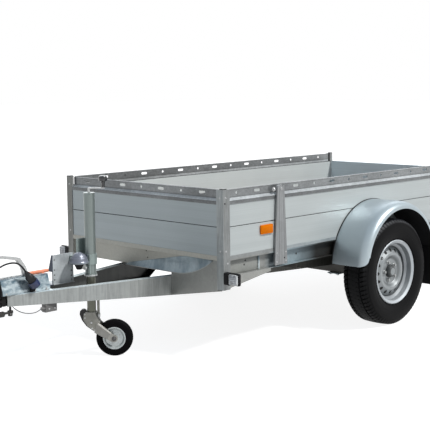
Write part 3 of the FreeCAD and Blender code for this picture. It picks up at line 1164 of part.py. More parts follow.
def make_tailgate():
    """Tailgate of the same planks, hinged at its foot, with two latches."""
    low, high = "groove_level - groove_half", "groove_level + groove_half"
    board = prism("gate_board", "XZ", [
        ("rear", "gate_bottom"), ("rear", low), ("rear + groove_depth", "groove_level"), ("rear", high),
        ("rear", "gate_top"), ("rear + panel_thick", "gate_top"), ("rear + panel_thick", high),
        ("rear + panel_thick - groove_depth", "groove_level"), ("rear + panel_thick", low),
        ("rear + panel_thick", "gate_bottom")], "-gate_half", "gate_half")
    pieces = [board]
    bores = []
    for index in (-1, 0, 1):
        side = "%d * hinge_side" % index
        low_side, high_side = side + " - hinge_width / 2", side + " + hinge_width / 2"
        pieces.append(rod("gate_knuckle_%d" % index, "y", "hinge_x", low_side, "hinge_level", "hinge_radius",
                          "hinge_width"))
        pieces.append(prism("gate_strap_%d" % index, "XZ", [
            ("hinge_x", "hinge_level"), ("hinge_x", "hinge_level + 7"), ("rear - 3", "gate_bottom + 4"),
            ("rear - 3", "gate_bottom + 48"), ("rear", "gate_bottom + 48"), ("rear", "gate_bottom"),
            ("hinge_x + hinge_radius", "hinge_level")], low_side, high_side))
        bores.append(rod("gate_bore_%d" % index, "y", "hinge_x", low_side + " - 1", "hinge_level",
                         "hinge_pin + pin_gap", "hinge_width + 2"))
    node("tailgate", cut("gate", join("gate_blank", pieces), [group("gate_bores", bores)]))
    latches = []
    for side in (-1, 1):
        middle = "%d * (gate_half - 70)" % side
        latches.append(prism("latch_%d" % side, "YZ", rounded(middle + " - 45", middle + " + 45", "gate_top - 75",
                                                              "gate_top - 35", "8"), "rear - 10", "rear"))
    node("tailgate_latches", group("latches", latches))


make_walls()
make_floor()
make_rails()
make_posts()
make_sills()
make_drawbar()
make_outriggers()
bumper = make_coupling()
boot = make_jockey()
holder = make_cable()
node("rubber_fittings", group("rubbers", [bumper, boot, holder]))
make_axle()
make_wheels()
make_guards()
make_lamps()
make_tailgate()

doc.recompute()
faults = [obj.Name + ": " + ", ".join(obj.State) for obj in doc.Objects
          if "Invalid" in obj.State or "Error" in obj.State]
faults += [name + ": no valid shape" for name, obj in nodes if obj.Shape.isNull() or not obj.Shape.isValid()]
if faults:
    raise RuntimeError("; ".join(faults))
os.makedirs("parts", exist_ok=True)
for name, obj in nodes:
    obj.Shape.exportStep("parts/%s.step" % name)
print("%d sub-parts" % len(nodes))
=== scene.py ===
import math

import bpy
import bmesh
from mathutils import Matrix, Vector


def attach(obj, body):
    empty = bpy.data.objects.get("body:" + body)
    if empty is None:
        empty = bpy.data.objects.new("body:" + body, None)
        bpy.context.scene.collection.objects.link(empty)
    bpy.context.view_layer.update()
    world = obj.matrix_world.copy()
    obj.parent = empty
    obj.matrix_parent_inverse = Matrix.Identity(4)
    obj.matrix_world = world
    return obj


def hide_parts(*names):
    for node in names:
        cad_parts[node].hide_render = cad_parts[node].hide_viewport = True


# Looks of a single-axle utility trailer. X points forward, Y to the trailer's left and Z up, in metres.

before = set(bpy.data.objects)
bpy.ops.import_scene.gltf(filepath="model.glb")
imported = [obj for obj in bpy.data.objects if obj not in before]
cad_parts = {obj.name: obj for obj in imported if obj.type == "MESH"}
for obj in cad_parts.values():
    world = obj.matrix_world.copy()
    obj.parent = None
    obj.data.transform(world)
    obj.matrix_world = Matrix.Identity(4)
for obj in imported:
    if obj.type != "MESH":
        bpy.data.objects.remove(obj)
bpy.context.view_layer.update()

AHEAD, LEFT, UP = (1.0, 0.0, 0.0), (0.0, 1.0, 0.0), (0.0, 0.0, 1.0)
EVEN = WHITE = (1.0, 1.0, 1.0)
SIDES = ((1, "left"), (-1, "right"))
TAU = 2 * math.pi

FRONT, HALF, BOX_LENGTH = 0.652, 0.665, 2.58        # the box's front, half its width and its length
REAR = FRONT - BOX_LENGTH
STAKE_FACE = HALF + 0.014                           # outer face of the side posts
WHEEL = Vector((FRONT - 1.294, 0.0, 0.322))
WHEEL_AXIS = (WHEEL.x, 0.0, WHEEL.z)
HALF_TRACK = 0.775
PITCHES, SLANT = 72, 9.0                            # tread blocks around a tyre, and their turn for each metre across
OUTER_RIB, SHOULDER = 0.0465, 0.0672                # offsets from a tyre's middle: the last groove, the tread's end
STEM = Vector((1.043, 0.043, 0.0))
BELL_MIDDLE = (1.127, 0.051, 0.0)
SWIVEL = math.radians(133.9)
TRAIL = Vector((math.cos(SWIVEL), math.sin(SWIVEL), 0.0))
ACROSS = Vector((math.sin(SWIVEL), -math.cos(SWIVEL), 0.0))
HUB = STEM + TRAIL * 0.122 + Vector((0, 0, 0.1))


def new_object(name, data):
    """An object in the scene."""
    obj = bpy.data.objects.new(name, data)
    bpy.context.scene.collection.objects.link(obj)
    return obj


# Camera, fitted to the photograph; its focal length and centre are in pixels

PICTURE, FOCAL, CENTRE = 430.0, 1031.53, (228.89, 184.26)
camera_data = bpy.data.cameras.new("camera")
camera = new_object("camera", camera_data)
camera_data.sensor_width = 36.0
camera_data.lens = 36.0 * FOCAL / PICTURE
camera_data.shift_x = (PICTURE / 2 - CENTRE[0]) / PICTURE
camera_data.shift_y = (CENTRE[1] - PICTURE / 2) / PICTURE
camera_data.clip_end = 200.0
forward = Vector((-0.71717756, -0.69006544, -0.09729357))
right = Vector((-0.6925895, 0.72125791, -0.01033481))
down = Vector((0.07730545, 0.05997262, -0.99520207))
place = Vector((3.83279836 + FRONT, 4.39627215, 1.46546603))
camera.matrix_world = Matrix(((right.x, -down.x, -forward.x, place.x), (right.y, -down.y, -forward.y, place.y),
                              (right.z, -down.z, -forward.z, place.z), (0.0, 0.0, 0.0, 1.0)))
bpy.context.scene.camera = camera
bpy.context.scene.view_settings.view_transform = "Standard"


# Materials

class Nodes:
    """A node tree that is being filled. Places and distances are in metres, on the object at rest."""

    def __init__(self, tree):
        self.tree = tree
        tree.nodes.clear()

    def fill(self, node, inputs):
        """Gives a node's sockets a value or another node's output."""
        for name, value in inputs.items():
            if isinstance(value, bpy.types.NodeSocket):
                self.tree.links.new(value, node.inputs[name])
            else:
                node.inputs[name].default_value = value

    def add(self, kind, output, inputs, **settings):
        """A new node's output."""
        node = self.tree.nodes.new("ShaderNode" + kind)
        for name, value in settings.items():
            setattr(node, name, value)
        self.fill(node, inputs)
        return node.outputs[output]

    def coordinates(self, scale):
        """Object coordinates, stretched."""
        return self.add("Mapping", "Vector", {"Scale": scale, "Vector": self.add("TexCoord", "Object", {})})

    def noise(self, size, detail=3.0, rough=0.55, scale=EVEN):
        """A noise value."""
        return self.add("TexNoise", "Fac", {"Scale": size, "Detail": detail, "Roughness": rough,
                                            "Vector": self.coordinates(scale)})

    def voronoi(self, output, size, randomness=1.0):
        """A Voronoi pattern's colour or distance."""
        return self.add("TexVoronoi", output, {"Scale": size, "Randomness": randomness,
                                               "Vector": self.coordinates(EVEN)})

    def cells(self, size):
        """A random value for each Voronoi cell."""
        return self.add("SeparateColor", "Red", {"Color": self.voronoi("Color", size)})

    def span(self, value, low, high, start=0.0, end=1.0):
        """Maps a value from start..end to low..high."""
        return self.add("MapRange", "Result", {"Value": value, "From Min": start, "From Max": end, "To Min": low,
                                               "To Max": high})

    def ramp(self, value, stops):
        """A colour by a value, from (value, colour) stops."""
        node = self.tree.nodes.new("ShaderNodeValToRGB")
        elements = node.color_ramp.elements
        for stop, colour in stops:
            elements.new(stop).color = (*colour, 1.0)
        elements.remove(elements[-1])
        elements.remove(elements[0])
        self.fill(node, {"Fac": value})
        return node.outputs["Color"]

    def blend(self, value, first, second, start=0.0, end=1.0):
        """A colour between two, by a value."""
        node = self.tree.nodes.new("ShaderNodeValToRGB")
        for element, position, colour in zip(node.color_ramp.elements, (start, end), (first, second)):
            element.position, element.color = position, (*colour, 1.0)
        self.fill(node, {"Fac": value})
        return node.outputs["Color"]

    def mottle(self, value, first, second):
        """Two colours in patches."""
        return self.blend(value, first, second, 0.3, 0.7)

    def times(self, first, second):
        """Two colours multiplied."""
        return self.add("Mix", "Result", {"Factor": 1.0, "A": first, "B": second}, data_type="RGBA",
                        blend_type="MULTIPLY")

    def tint(self, base, value, first, second=WHITE, start=0.0, end=1.0):
        """A colour multiplied by a blend of two."""
        return self.times(base, self.blend(value, first, second, start, end))

    def mixed(self, share, first, second):
        """Two colours mixed by a value."""
        first, second = ((*colour, 1.0) if isinstance(colour, tuple) else colour for colour in (first, second))
        return self.add("Mix", "Result", {"Factor": share, "A": first, "B": second}, data_type="RGBA")

    def math(self, operation, *values):
        """A math node's value."""
        return self.add("Math", "Value", dict(enumerate(values)), operation=operation)

    def shift(self, origin):
        """Object coordinates measured from an origin."""
        return self.add("VectorMath", "Vector", {0: self.add("TexCoord", "Object", {}), 1: origin},
                        operation="SUBTRACT")

    def along(self, direction, origin=(0.0, 0.0, 0.0)):
        """Distance from an origin along a direction."""
        return self.add("VectorMath", "Value", {0: self.shift(origin), 1: direction}, operation="DOT_PRODUCT")

    def from_axis(self, origin, flat):
        """Distance from an axis through an origin; flat has a zero along the axis."""
        across = self.add("VectorMath", "Vector", {0: self.shift(origin), 1: flat}, operation="MULTIPLY")
        return self.add("VectorMath", "Value", {0: across}, operation="LENGTH")

    def from_wheel_axis(self):
        """Distance from the axis of the road wheels."""
        return self.from_axis(WHEEL_AXIS, (1.0, 0.0, 1.0))

    def from_middle(self):
        """Distance from the trailer's middle plane."""
        return self.math("ABSOLUTE", self.along(LEFT))

    def zone(self, direction, start, end):
        """0 on one side of a place along a direction and 1 past it."""
        return self.span(self.along(direction), 0.0, 1.0, start, end)


class Look(Nodes):
    """A material that is being made."""

    def __init__(self, name):
        self.mat = bpy.data.materials.new(name)
        self.mat.use_nodes = True
        super().__init__(self.mat.node_tree)
        self.shader = self.tree.nodes.new("ShaderNodeBsdfPrincipled")
        self.out = self.tree.nodes.new("ShaderNodeOutputMaterial")
        self.fill(self.out, {"Surface": self.shader.outputs["BSDF"]})

    def finish(self, base, rough, metallic, relief, strength, depth, **more):
        """Fills the shader, with relief, and returns the material; more names its other sockets."""
        bump = self.add("Bump", "Normal", {"Strength": strength, "Distance": depth, "Height": relief})
        self.fill(self.shader, {"Base Color": base, "Roughness": rough, "Metallic": metallic, "Normal": bump})
        self.fill(self.shader, {name.replace("_", " "): value for name, value in more.items()})
        return self.mat

    def worn(self, base, flower, metallic, rough, cloudy, fine, streak, lines, steady=False):
        """Cloudy stains, fine streaks and a soft sheen over a base colour."""
        cloud = self.noise(6.0, 5.0, 0.6, streak)
        base = self.tint(base, cloud, (1.0 - cloudy,) * 3, WHITE, 0.32, 0.62)
        base = self.tint(base, self.noise(1.0, 2.0, 0.6, lines), (1.0 - fine,) * 3, WHITE, 0.35, 0.65)
        if steady:
            sheen = self.span(cloud, rough - 0.03, rough + 0.03, 0.3, 0.7)
        else:
            sheen = self.span(flower, rough - 0.04, rough + 0.06)
        return self.finish(base, sheen, metallic, self.noise(160.0, 2.0), 0.08, 0.0005)

    def galvanised(self, base, metallic, rough, cloudy=0.18, fine=0.08, streak=EVEN):
        """Spangle and wear over a base colour."""
        flower = self.cells(55.0)
        base = self.tint(base, flower, (0.92, 0.92, 0.92))
        return self.worn(base, flower, metallic, rough, cloudy, fine, streak, tuple(value * 90.0 for value in streak))


def shades(colour, depth):
    """A darker and a lighter shade of a colour."""
    return (tuple(value * (1.0 - depth) for value in colour),
            tuple(min(value * (1.0 + depth), 1.0) for value in colour))


def zinc(name, colour, metallic, rough, spangle=0.06, cell=60.0, cloudy=0.14, streak=EVEN, fine=0.08, steady=False):
    """Galvanised steel of one tone."""
    look = Look(name)
    flower = look.cells(cell)
    lines = tuple(value * 90.0 if value >= 1.0 else value * 6.0 for value in streak)
    base = look.blend(flower, *shades(colour, spangle))
    return look.worn(base, flower, metallic, rough, cloudy, fine, streak, lines, steady)


def zoned(name, measure, start, end, first, second, metallic, rough, cloudy=0.18, fine=0.08):
    """Galvanised steel of two tones, the second one past a place along a direction or by another measure."""
    look = Look(name)
    share = look.span(measure(look) if callable(measure) else look.along(measure), 0.0, 1.0, start, end)
    return look.galvanised(look.mixed(share, first, second), metallic, rough, cloudy, fine)


def beam_zinc(name, side):
    """A drawbar member: streaked outer web, with a painted highlight on the top flange, painted shade on the channel's
    inside, and painted shade on the part under the box, darkest at the rear.
    """
    look = Look(name)
    # The channel's inside is painted near-black: painted shade.
    inner = look.zone((0.23507, side * 0.97198, 0.0), 0.403, 0.4015)
    inside = look.math("MULTIPLY", inner, look.zone(UP, 0.4096, 0.4085))
    base = look.mixed(inside, (0.375, 0.395, 0.39), (0.075, 0.08, 0.077))
    # The top flange is painted light: a painted highlight.
    base = look.mixed(look.zone(UP, 0.409, 0.4099), base, (0.74, 0.82, 0.84))
    # Darker under the box and towards it: painted shade.
    base = look.tint(base, look.zone(AHEAD, 0.2, 0.55), (0.26, 0.25, 0.23))
    base = look.tint(base, look.zone(AHEAD, 0.74, 1.05), (0.88, 0.875, 0.86))
    return look.galvanised(base, 0.4, 0.38, 0.16, 0.2, (1.0, 1.0, 0.08))


def rail_zinc(name):
    """A rail: slotted web, with light and shade painted in bands by height: painted highlights on the sloping strip and
    the top edge, and painted shade on the lip over the panel and in thin lines at the folds.
    """
    look = Look(name)
    # Painted light and shade on the rail's bands, by height.
    levels = ((0.0, 0.8), (0.045, 0.7), (0.2, 0.66), (0.225, 0.4), (0.245, 2.15), (0.395, 2.0), (0.42, 0.55),
              (0.5, 0.95), (0.88, 1.0), (0.925, 0.55), (0.955, 1.7))
    stops = [(level, tuple(min(value * shade, 1.0) for value in (0.29, 0.305, 0.312))) for level, shade in levels]
    return look.galvanised(look.ramp(look.zone(UP, 0.832, 0.912), stops), 0.45, 0.34, 0.36, 0.22, (0.6, 0.6, 1.0))


def leaf_zinc(name):
    """Outrigger: pressed leaf in mottled blue, a painted reflection of the sky, and the plain grey of its front plate
    and side return.
    """
    look = Look(name)
    plain = look.math("MAXIMUM", look.zone(AHEAD, 0.648, 0.649),
                      look.span(look.from_middle(), 0.0, 1.0, 0.659, 0.661))
    cloud = look.noise(2.4, 4.0, 0.6, (1.0, 5.0, 2.0))
    # The leaf's blue is a painted reflection of the sky.
    blue = look.blend(cloud, (0.185, 0.25, 0.29), (0.4, 0.48, 0.52), 0.36, 0.62)
    return look.galvanised(look.mixed(plain, blue, (0.335, 0.342, 0.325)), 0.4, 0.36, 0.14, 0.08)


def guard_zinc(name):
    """Mudguard's outer skin: smooth bluish zinc, painted darker towards the top and lighter low down: painted light on
    its lower front.
    """
    look = Look(name)
    cloud = look.noise(5.0, 4.0)
    skin = look.mottle(cloud, (0.425, 0.495, 0.53), (0.485, 0.555, 0.59))
    # Lighter low down, darker at the top: painted light against the shade on the lower front.
    skin = look.tint(skin, look.zone(UP, 0.66, 0.38), (0.88, 0.88, 0.88))
    return look.finish(skin, look.span(cloud, 0.36, 0.42), 0.6, look.noise(90.0, 2.0), 0.02, 0.0004)


def side_sill_zinc(name):
    """Side sill: bluish ahead of the wheels and grey behind them, painted near-black beside the wheels as painted shade
    under the wall, with a painted highlight on its upper lip.
    """
    look = Look(name)
    # Near-black beside the wheels, and darker towards them from behind: painted shade under the wall.
    wheel_shade = (0.026, 0.025, 0.023)
    base = look.ramp(look.zone(AHEAD, -1.878, 0.602), (
        (0.1, (0.21, 0.222, 0.225)), (0.32, (0.16, 0.165, 0.165)), (0.38, wheel_shade), (0.7, wheel_shade),
        (0.78, (0.285, 0.36, 0.395)), (0.85, (0.355, 0.44, 0.475)), (0.88, (0.3, 0.31, 0.3))))
    # The upper lip is painted light, more so ahead: a painted highlight.
    lip = look.blend(look.zone(AHEAD, 0.1, 0.2), (0.43, 0.48, 0.5), (0.3, 0.315, 0.315))
    return look.galvanised(look.mixed(look.zone(UP, 0.54, 0.5412), base, lip), 0.4, 0.4, 0.3, 0.1)


def zinc_with_painted_reflection(name):
    """Bright new zinc with dark blue stripes running at a slant: a painted reflection."""
    look = Look(name)
    # The slanting dark blue stripes are a painted reflection.
    slant_reflection = look.noise(2.2, 4.0, 0.65, (3.0, 14.0, 6.0))
    return look.galvanised(look.blend(slant_reflection, (0.085, 0.15, 0.2), (0.66, 0.75, 0.78), 0.36, 0.58), 0.3, 0.3,
                           0.12, 0.05)


def post_zinc(name):
    """Corner posts: lighter and bluish on the faces that look forward, a painted reflection, grey along the sides, and
    darker on the right, painted shade.
    """
    look = Look(name)
    # The forward faces are painted lighter and bluish: a painted reflection.
    base = look.mixed(look.zone(AHEAD, 0.65, 0.6515), (0.3, 0.315, 0.315), (0.435, 0.47, 0.475))
    # The right-hand posts are painted darker: painted shade.
    base = look.tint(base, look.zone(LEFT, -0.6, -0.55), (0.6, 0.57, 0.53))
    return look.galvanised(base, 0.4, 0.38, 0.32, 0.26, (1.0, 1.0, 0.12))


def wheel_paint(name):
    """Silver wheel paint in rings: painted shade in the gap at the hub, at the step in the disc and in the inner
    barrel, a painted highlight on the outer flange, a duller disc, and nearly black on the wheel's inner side.
    """
    look = Look(name)
    reach = look.from_wheel_axis()
    cloud = look.noise(9.0, 4.0)
    disc = look.mottle(cloud, (0.215, 0.232, 0.24), (0.265, 0.282, 0.29))
    barrel = look.mottle(cloud, (0.41, 0.44, 0.465), (0.46, 0.49, 0.515))
    base = look.mixed(look.span(reach, 0.0, 1.0, 0.15, 0.157), disc, barrel)
    # Rings of painted shade at the hub's gap, the disc's step and the inner barrel, and a painted highlight on the
    # outer flange.
    rings = ((0.15, 1.0), (0.165, 0.18), (0.198, 0.18), (0.212, 0.95), (0.385, 1.0), (0.405, 0.66), (0.44, 0.72),
             (0.47, 1.1), (0.74, 1.12), (0.765, 0.46), (0.79, 0.62), (0.875, 0.72), (0.895, 1.05))
    base = look.times(base, look.ramp(look.span(reach, 0.0, 1.0, 0.0, 0.2),
                                      [(ring, (shade,) * 3) for ring, shade in rings]))
    # Nearly black on the wheel's inner side.
    rear = look.span(look.from_middle(), 0.0, 1.0, 0.792, 0.786)
    base = look.mixed(rear, base, look.mottle(cloud, (0.03, 0.029, 0.028), (0.05, 0.048, 0.046)))
    return look.finish(base, look.span(cloud, 0.33, 0.42), 0.45, look.noise(300.0, 2.0), 0.04, 0.0004)


def brushed(name, colour, lines, rough=0.4):
    """Aluminium plank: fine lines along its length and faint cloudiness."""
    look = Look(name)
    line = look.noise(1.0, 2.0, 0.5, lines)
    wide = look.noise(1.0, 2.0, 0.5, (lines[0] * 0.2, lines[1] * 0.1, lines[2] * 0.1))
    base = look.tint(look.mottle(line, *shades(colour, 0.04)), wide, (0.95, 0.95, 0.95), WHITE, 0.35, 0.65)
    base = look.tint(base, look.noise(2.2, 3.0), (0.95, 0.955, 0.96), WHITE, 0.35, 0.65)
    return look.finish(base, look.span(line, rough - 0.05, rough + 0.08), 0.25, line, 0.06, 0.0003)


def painted(name, colour, rough, metallic=0.0, vary=0.05, grain=60.0, relief=0.05, coat=0.0, gloss=0.5):
    """Paint or plastic with slight unevenness."""
    look = Look(name)
    cloud = look.noise(9.0, 4.0)
    return look.finish(look.mottle(cloud, *shades(colour, vary)), look.span(cloud, rough - 0.05, rough + 0.05),
                       metallic, look.noise(grain, 2.0), relief, 0.0004, Coat_Weight=coat, Specular_IOR_Level=gloss)


def lens(name, colour, rough, facets, deep=0.55, glow=0.0, shine=0.35, coat=0.4):
    """Lamp glass with small prisms behind its face; a glow above zero is painted light, as no lamp is lit."""
    look = Look(name)
    prisms = look.voronoi("Distance", facets, 0.15)
    base = look.blend(prisms, colour, tuple(value * deep for value in colour), 0.25, 0.75)
    base = look.tint(base, look.noise(38.0, 2.0), (deep + 0.25,) * 3, WHITE, 0.4, 0.58)
    return look.finish(base, rough, 0.0, prisms, 0.35, 0.002, Coat_Weight=coat, Coat_Roughness=0.05,
                       Specular_IOR_Level=shine, Emission_Color=(*colour, 1.0), Emission_Strength=glow)


def wood_board(name):
    """Film-faced plywood with its fine anti-slip mesh."""
    look = Look(name)
    base = look.mottle(look.noise(6.0, 5.0, scale=(0.6, 3.0, 1.0)), (0.085, 0.055, 0.038), (0.15, 0.1, 0.07))
    return look.finish(base, 0.5, 0.0, look.voronoi("Distance", 220.0, 0.0), 0.4, 0.0008)


def tyre_rubber(name, reach_of, worn_from, worn_to, dark, dust_and_highlight, shine, grooved=False):
    """Tyre rubber, lighter on its tread blocks (dust and a painted highlight), painted lighter high up and darker low
    down, and painted dark in the shoulder's grooves as painted shade.
    """
    look = Look(name)
    cloud = look.noise(12.0, 5.0, 0.65)
    base = look.mottle(cloud, tuple(value * 0.8 for value in dark), dark)
    dust_and_painted_light = look.mottle(cloud, tuple(value * 0.7 for value in dust_and_highlight), dust_and_highlight)
    # Lighter high up and darker low down: painted light and shade.
    dust_and_painted_light = look.tint(dust_and_painted_light, look.zone(UP, 0.36, 0.58), (0.35, 0.35, 0.35), (2.6, 2.65, 2.75))
    # Dark stripes in the shoulder's grooves: painted shade.
    if grooved:
        turn = look.math("ARCTAN2", look.along(AHEAD, WHEEL_AXIS), look.along(UP, WHEEL_AXIS))
        phase = look.math("ADD", look.math("MULTIPLY", turn, PITCHES / TAU),
                          look.math("MULTIPLY", look.along(LEFT), SLANT))
        groove = look.math("LESS_THAN", look.math("FRACT", phase), 0.3)
        offset = look.math("ABSOLUTE", look.math("SUBTRACT", look.from_middle(), HALF_TRACK))
        groove = look.math("MULTIPLY", groove, look.math("GREATER_THAN", offset, OUTER_RIB))
        dust_and_painted_light = look.tint(dust_and_painted_light, groove, WHITE, (0.15, 0.15, 0.15))
    crown = look.span(reach_of(look), 0.0, 1.0, worn_from, worn_to)
    return look.finish(look.mixed(crown, base, dust_and_painted_light), look.span(cloud, 0.42, 0.62), 0.0, look.noise(240.0, 3.0), 0.2,
                       0.0005, Specular_IOR_Level=shine)


def cast_fork(name):
    """Cast body in dull grey, with the outer faces of its arms in bright zinc."""
    look = Look(name)
    side = look.math("ABSOLUTE", look.along(tuple(ACROSS), tuple(STEM)))
    cloud = look.noise(30.0, 5.0, 0.6)
    dull = look.mottle(cloud, (0.2, 0.2, 0.175), (0.34, 0.335, 0.305))
    bright = look.mottle(cloud, (0.52, 0.51, 0.48), (0.66, 0.65, 0.62))
    face = look.mottle(cloud, (0.29, 0.285, 0.26), (0.38, 0.375, 0.35))
    base = look.mixed(look.span(side, 0.0, 1.0, 0.033, 0.0335), dull, face)
    base = look.mixed(look.span(side, 0.0, 1.0, 0.0358, 0.0364), base, bright)
    return look.finish(base, look.span(cloud, 0.38, 0.52), 0.35, look.noise(260.0, 2.0), 0.25, 0.0005)


LINES_X, LINES_Y = (1.2, 260.0, 260.0), (260.0, 1.2, 260.0)
PLANK = brushed("plank_side", (0.445, 0.48, 0.482), LINES_X)
# The far wall's planks are a lighter copy of the side planks: painted light.
PLANK_FAR_PAINTED_LIGHT = brushed("plank_far_painted_light", (0.62, 0.665, 0.665), LINES_X, 0.42)
PLANK_FRONT = brushed("plank_front", (0.44, 0.494, 0.508), LINES_Y)
PLANK_GATE = brushed("plank_gate", (0.66, 0.77, 0.83), LINES_Y)
ZINC = zinc("galvanised", (0.3, 0.31, 0.31), 0.45, 0.4)
FITTINGS = zoned("fittings_steel", AHEAD, 1.45, 1.5, (0.15, 0.15, 0.148), (0.035, 0.034, 0.032), 0.3, 0.45)
BEAM_LEFT = beam_zinc("drawbar_zinc_left", 1)
BEAM_RIGHT = beam_zinc("drawbar_zinc_right", -1)
ZINC_RAIL = rail_zinc("galvanised_rail")
ZINC_POST = post_zinc("galvanised_post")
# A dark copy of the galvanised zinc for the parts under the box: painted shade.
ZINC_SHADED = zinc("galvanised_painted_shade", (0.105, 0.102, 0.094), 0.3, 0.46, 0.05, 60.0, 0.3)
ZINC_STAKE = zinc("galvanised_stake", (0.295, 0.305, 0.31), 0.4, 0.38, 0.06, 50.0, 0.34, (1.0, 1.0, 0.22), 0.24)
ZINC_GUARD = guard_zinc("galvanised_guard")
# The front sill's beige-grey tone is a painted reflection of the ground.
ZINC_SILL = zinc("galvanised_sill", (0.53, 0.525, 0.47), 0.2, 0.5, 0.03, 60.0, 0.08, (0.3, 1.0, 1.0))
ZINC_SIDE_SILL = side_sill_zinc("galvanised_side_sill")
GUSSET = zinc("gusset_steel", (0.27, 0.28, 0.265), 0.25, 0.46, 0.04, 60.0, 0.12)
ZINC_LEAF = leaf_zinc("galvanised_leaf")
ZINC_WHITE = zinc_with_painted_reflection("galvanised_white")
# The bracket's front return is painted dark navy: painted shade.
BRACKET = zoned("bracket_zinc", AHEAD, 1.2462, 1.247, (0.56, 0.6, 0.62), (0.035, 0.048, 0.078), 0.35, 0.38, 0.34)
BOLT = zinc("bolt_steel", (0.36, 0.37, 0.37), 0.55, 0.34, 0.03, 90.0, 0.1)
PLATED = zinc("zinc_plate", (0.5, 0.51, 0.51), 0.6, 0.3, 0.03, 90.0, 0.08)
BELL = zoned("clamp_zinc", lambda look: look.from_axis(BELL_MIDDLE, (1.0, 1.0, 0.0)), 0.053, 0.0524,
             (0.29, 0.35, 0.335), (0.185, 0.2, 0.245), 0.35, 0.36, 0.1, 0.04)
CAPS = zoned("post_caps", UP, 0.9112, 0.912, (0.3, 0.31, 0.31), (0.011, 0.011, 0.012), 0.0, 0.4, 0.1, 0.05)
STEM_ZINC = zinc("stem_zinc", (0.235, 0.272, 0.262), 0.5, 0.3, 0.02, 90.0, 0.12, (1.0, 1.0, 0.2), 0.06, steady=True)
LEG_ZINC = zinc("leg_zinc", (0.155, 0.158, 0.125), 0.5, 0.32, 0.02, 90.0, 0.12, (1.0, 1.0, 0.2), 0.06, steady=True)
RIM_ZINC = zinc("jockey_rim_zinc", (0.5, 0.54, 0.54), 0.45, 0.3, 0.03, 90.0, 0.1)
# The hub cap's outer edge is painted dark: painted shade of the gap around it.
CAP_SHADED = zoned("hub_cap_painted_shade", Nodes.from_wheel_axis, 0.0205, 0.0235, (0.3, 0.325, 0.335),
                  (0.095, 0.1, 0.102), 0.45, 0.36, 0.2, 0.1)
WHEEL_PAINT = wheel_paint("wheel_paint")
CAST = painted("cast_iron", (0.1, 0.1, 0.1), 0.62, 0.4, 0.2, 90.0, 0.3)
FORK = cast_fork("fork_casting")
BLACK = painted("black_plastic", (0.011, 0.011, 0.012), 0.38, 0.0, 0.2, 180.0, 0.1, 0.0, 0.35)
GLOSS = painted("gloss_black", (0.01, 0.01, 0.012), 0.16, 0.0, 0.1, 60.0, 0.02, 0.6)
RUBBER = painted("rubber", (0.01, 0.01, 0.011), 0.55, 0.0, 0.25, 200.0, 0.2, 0.0, 0.14)
ORANGE_ROD = painted("orange_paint", (0.66, 0.215, 0.115), 0.42, 0.0, 0.06)
CLEAR = lens("clear_lens", (0.8, 0.83, 0.86), 0.1, 95.0, 0.35)
# The amber and red lenses glow faintly though no lamp is lit: painted light.
AMBER = lens("amber_lens", (0.72, 0.175, 0.001), 0.36, 160.0, 0.74, 0.04, 0.06, 0.0)
RED = lens("red_lens", (0.42, 0.008, 0.008), 0.15, 130.0, 0.6, 0.02)
WHITE_PLATE = painted("blank_plate", (0.72, 0.72, 0.7), 0.35)
FLOOR_BOARD = wood_board("floor_board")
TYRE = tyre_rubber("tyre_rubber", Nodes.from_wheel_axis, 0.296, 0.3175, (0.008, 0.008, 0.0085),
                   (0.055, 0.056, 0.058), 0.05, True)
JOCKEY_TYRE = tyre_rubber("jockey_rubber", lambda look: look.from_axis(HUB, EVEN), 0.0985, 0.1015,
                          (0.006, 0.006, 0.0065), (0.013, 0.013, 0.014), 0.02)
BLUE = painted("blue_plug", (0.012, 0.022, 0.075), 0.32, 0.0, 0.1, 120.0, 0.05, 0.2)
# Near-black sheet inside the mudguards: painted shade.
GUARD_SHADE_SHEET = painted("guard_painted_shade", (0.012, 0.012, 0.013), 0.75, 0.0, 0.25, 60.0, 0.2, 0.0, 0.15)
HOLE = painted("hole_shade", (0.006, 0.006, 0.007), 0.8)

LOOKS = (
    (PLANK_FRONT, "front_wall"), (PLANK, "side_wall_left"), (PLANK_FAR_PAINTED_LIGHT, "side_wall_right"), (PLANK_GATE, "tailgate"),
    (FLOOR_BOARD, "floor"), (ZINC_RAIL, "rail_front rail_left rail_right"), (ZINC, "rear_sill"),
    (ZINC_POST, "corner_posts_front corner_posts_rear"), (CAPS, "corner_caps"), (ZINC_STAKE, "side_posts"),
    (ZINC_SIDE_SILL, "side_sills"), (ZINC_SILL, "front_sill"), (ZINC_SHADED, "cross_members axle_beam axle_arms"),
    (ZINC_LEAF, "outrigger_left outrigger_right"), (BEAM_LEFT, "drawbar_left"), (BEAM_RIGHT, "drawbar_right"),
    (ZINC_WHITE, "head_plate overrun_housing"), (ORANGE_ROD, "handbrake_strut"), (BRACKET, "perforated_bracket"),
    (PLATED, "draw_tube coupling_head handbrake_lever jockey_crank tailgate_latches"), (FITTINGS, "underside_fittings"),
    (BLACK, "coupling_handle plug breakaway_wire jockey_fork_band"), (BELL, "jockey_clamp"),
    (RUBBER, "gaiter lighting_cable rubber_fittings mudflaps front_markers"), (STEM_ZINC, "jockey_outer_tube"),
    (GLOSS, "crank_knob"), (LEG_ZINC, "jockey_inner_tube"), (FORK, "jockey_fork"), (JOCKEY_TYRE, "jockey_tyre"),
    (RIM_ZINC, "jockey_rim"), (ZINC_GUARD, "mudguard_left mudguard_right"), (TYRE, "tyre_left tyre_right"),
    (WHEEL_PAINT, "rim_left rim_right"), (CAST, "hub_left hub_right"), (CLEAR, "front_marker_lenses"),
    (AMBER, "side_reflectors"), (RED, "rear_lamps"), (WHITE_PLATE, "number_plate"),
)
for mat, names in LOOKS:
    for name in names.split():
        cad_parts[name].data.materials.clear()
        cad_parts[name].data.materials.append(mat)


# Mesh helpers

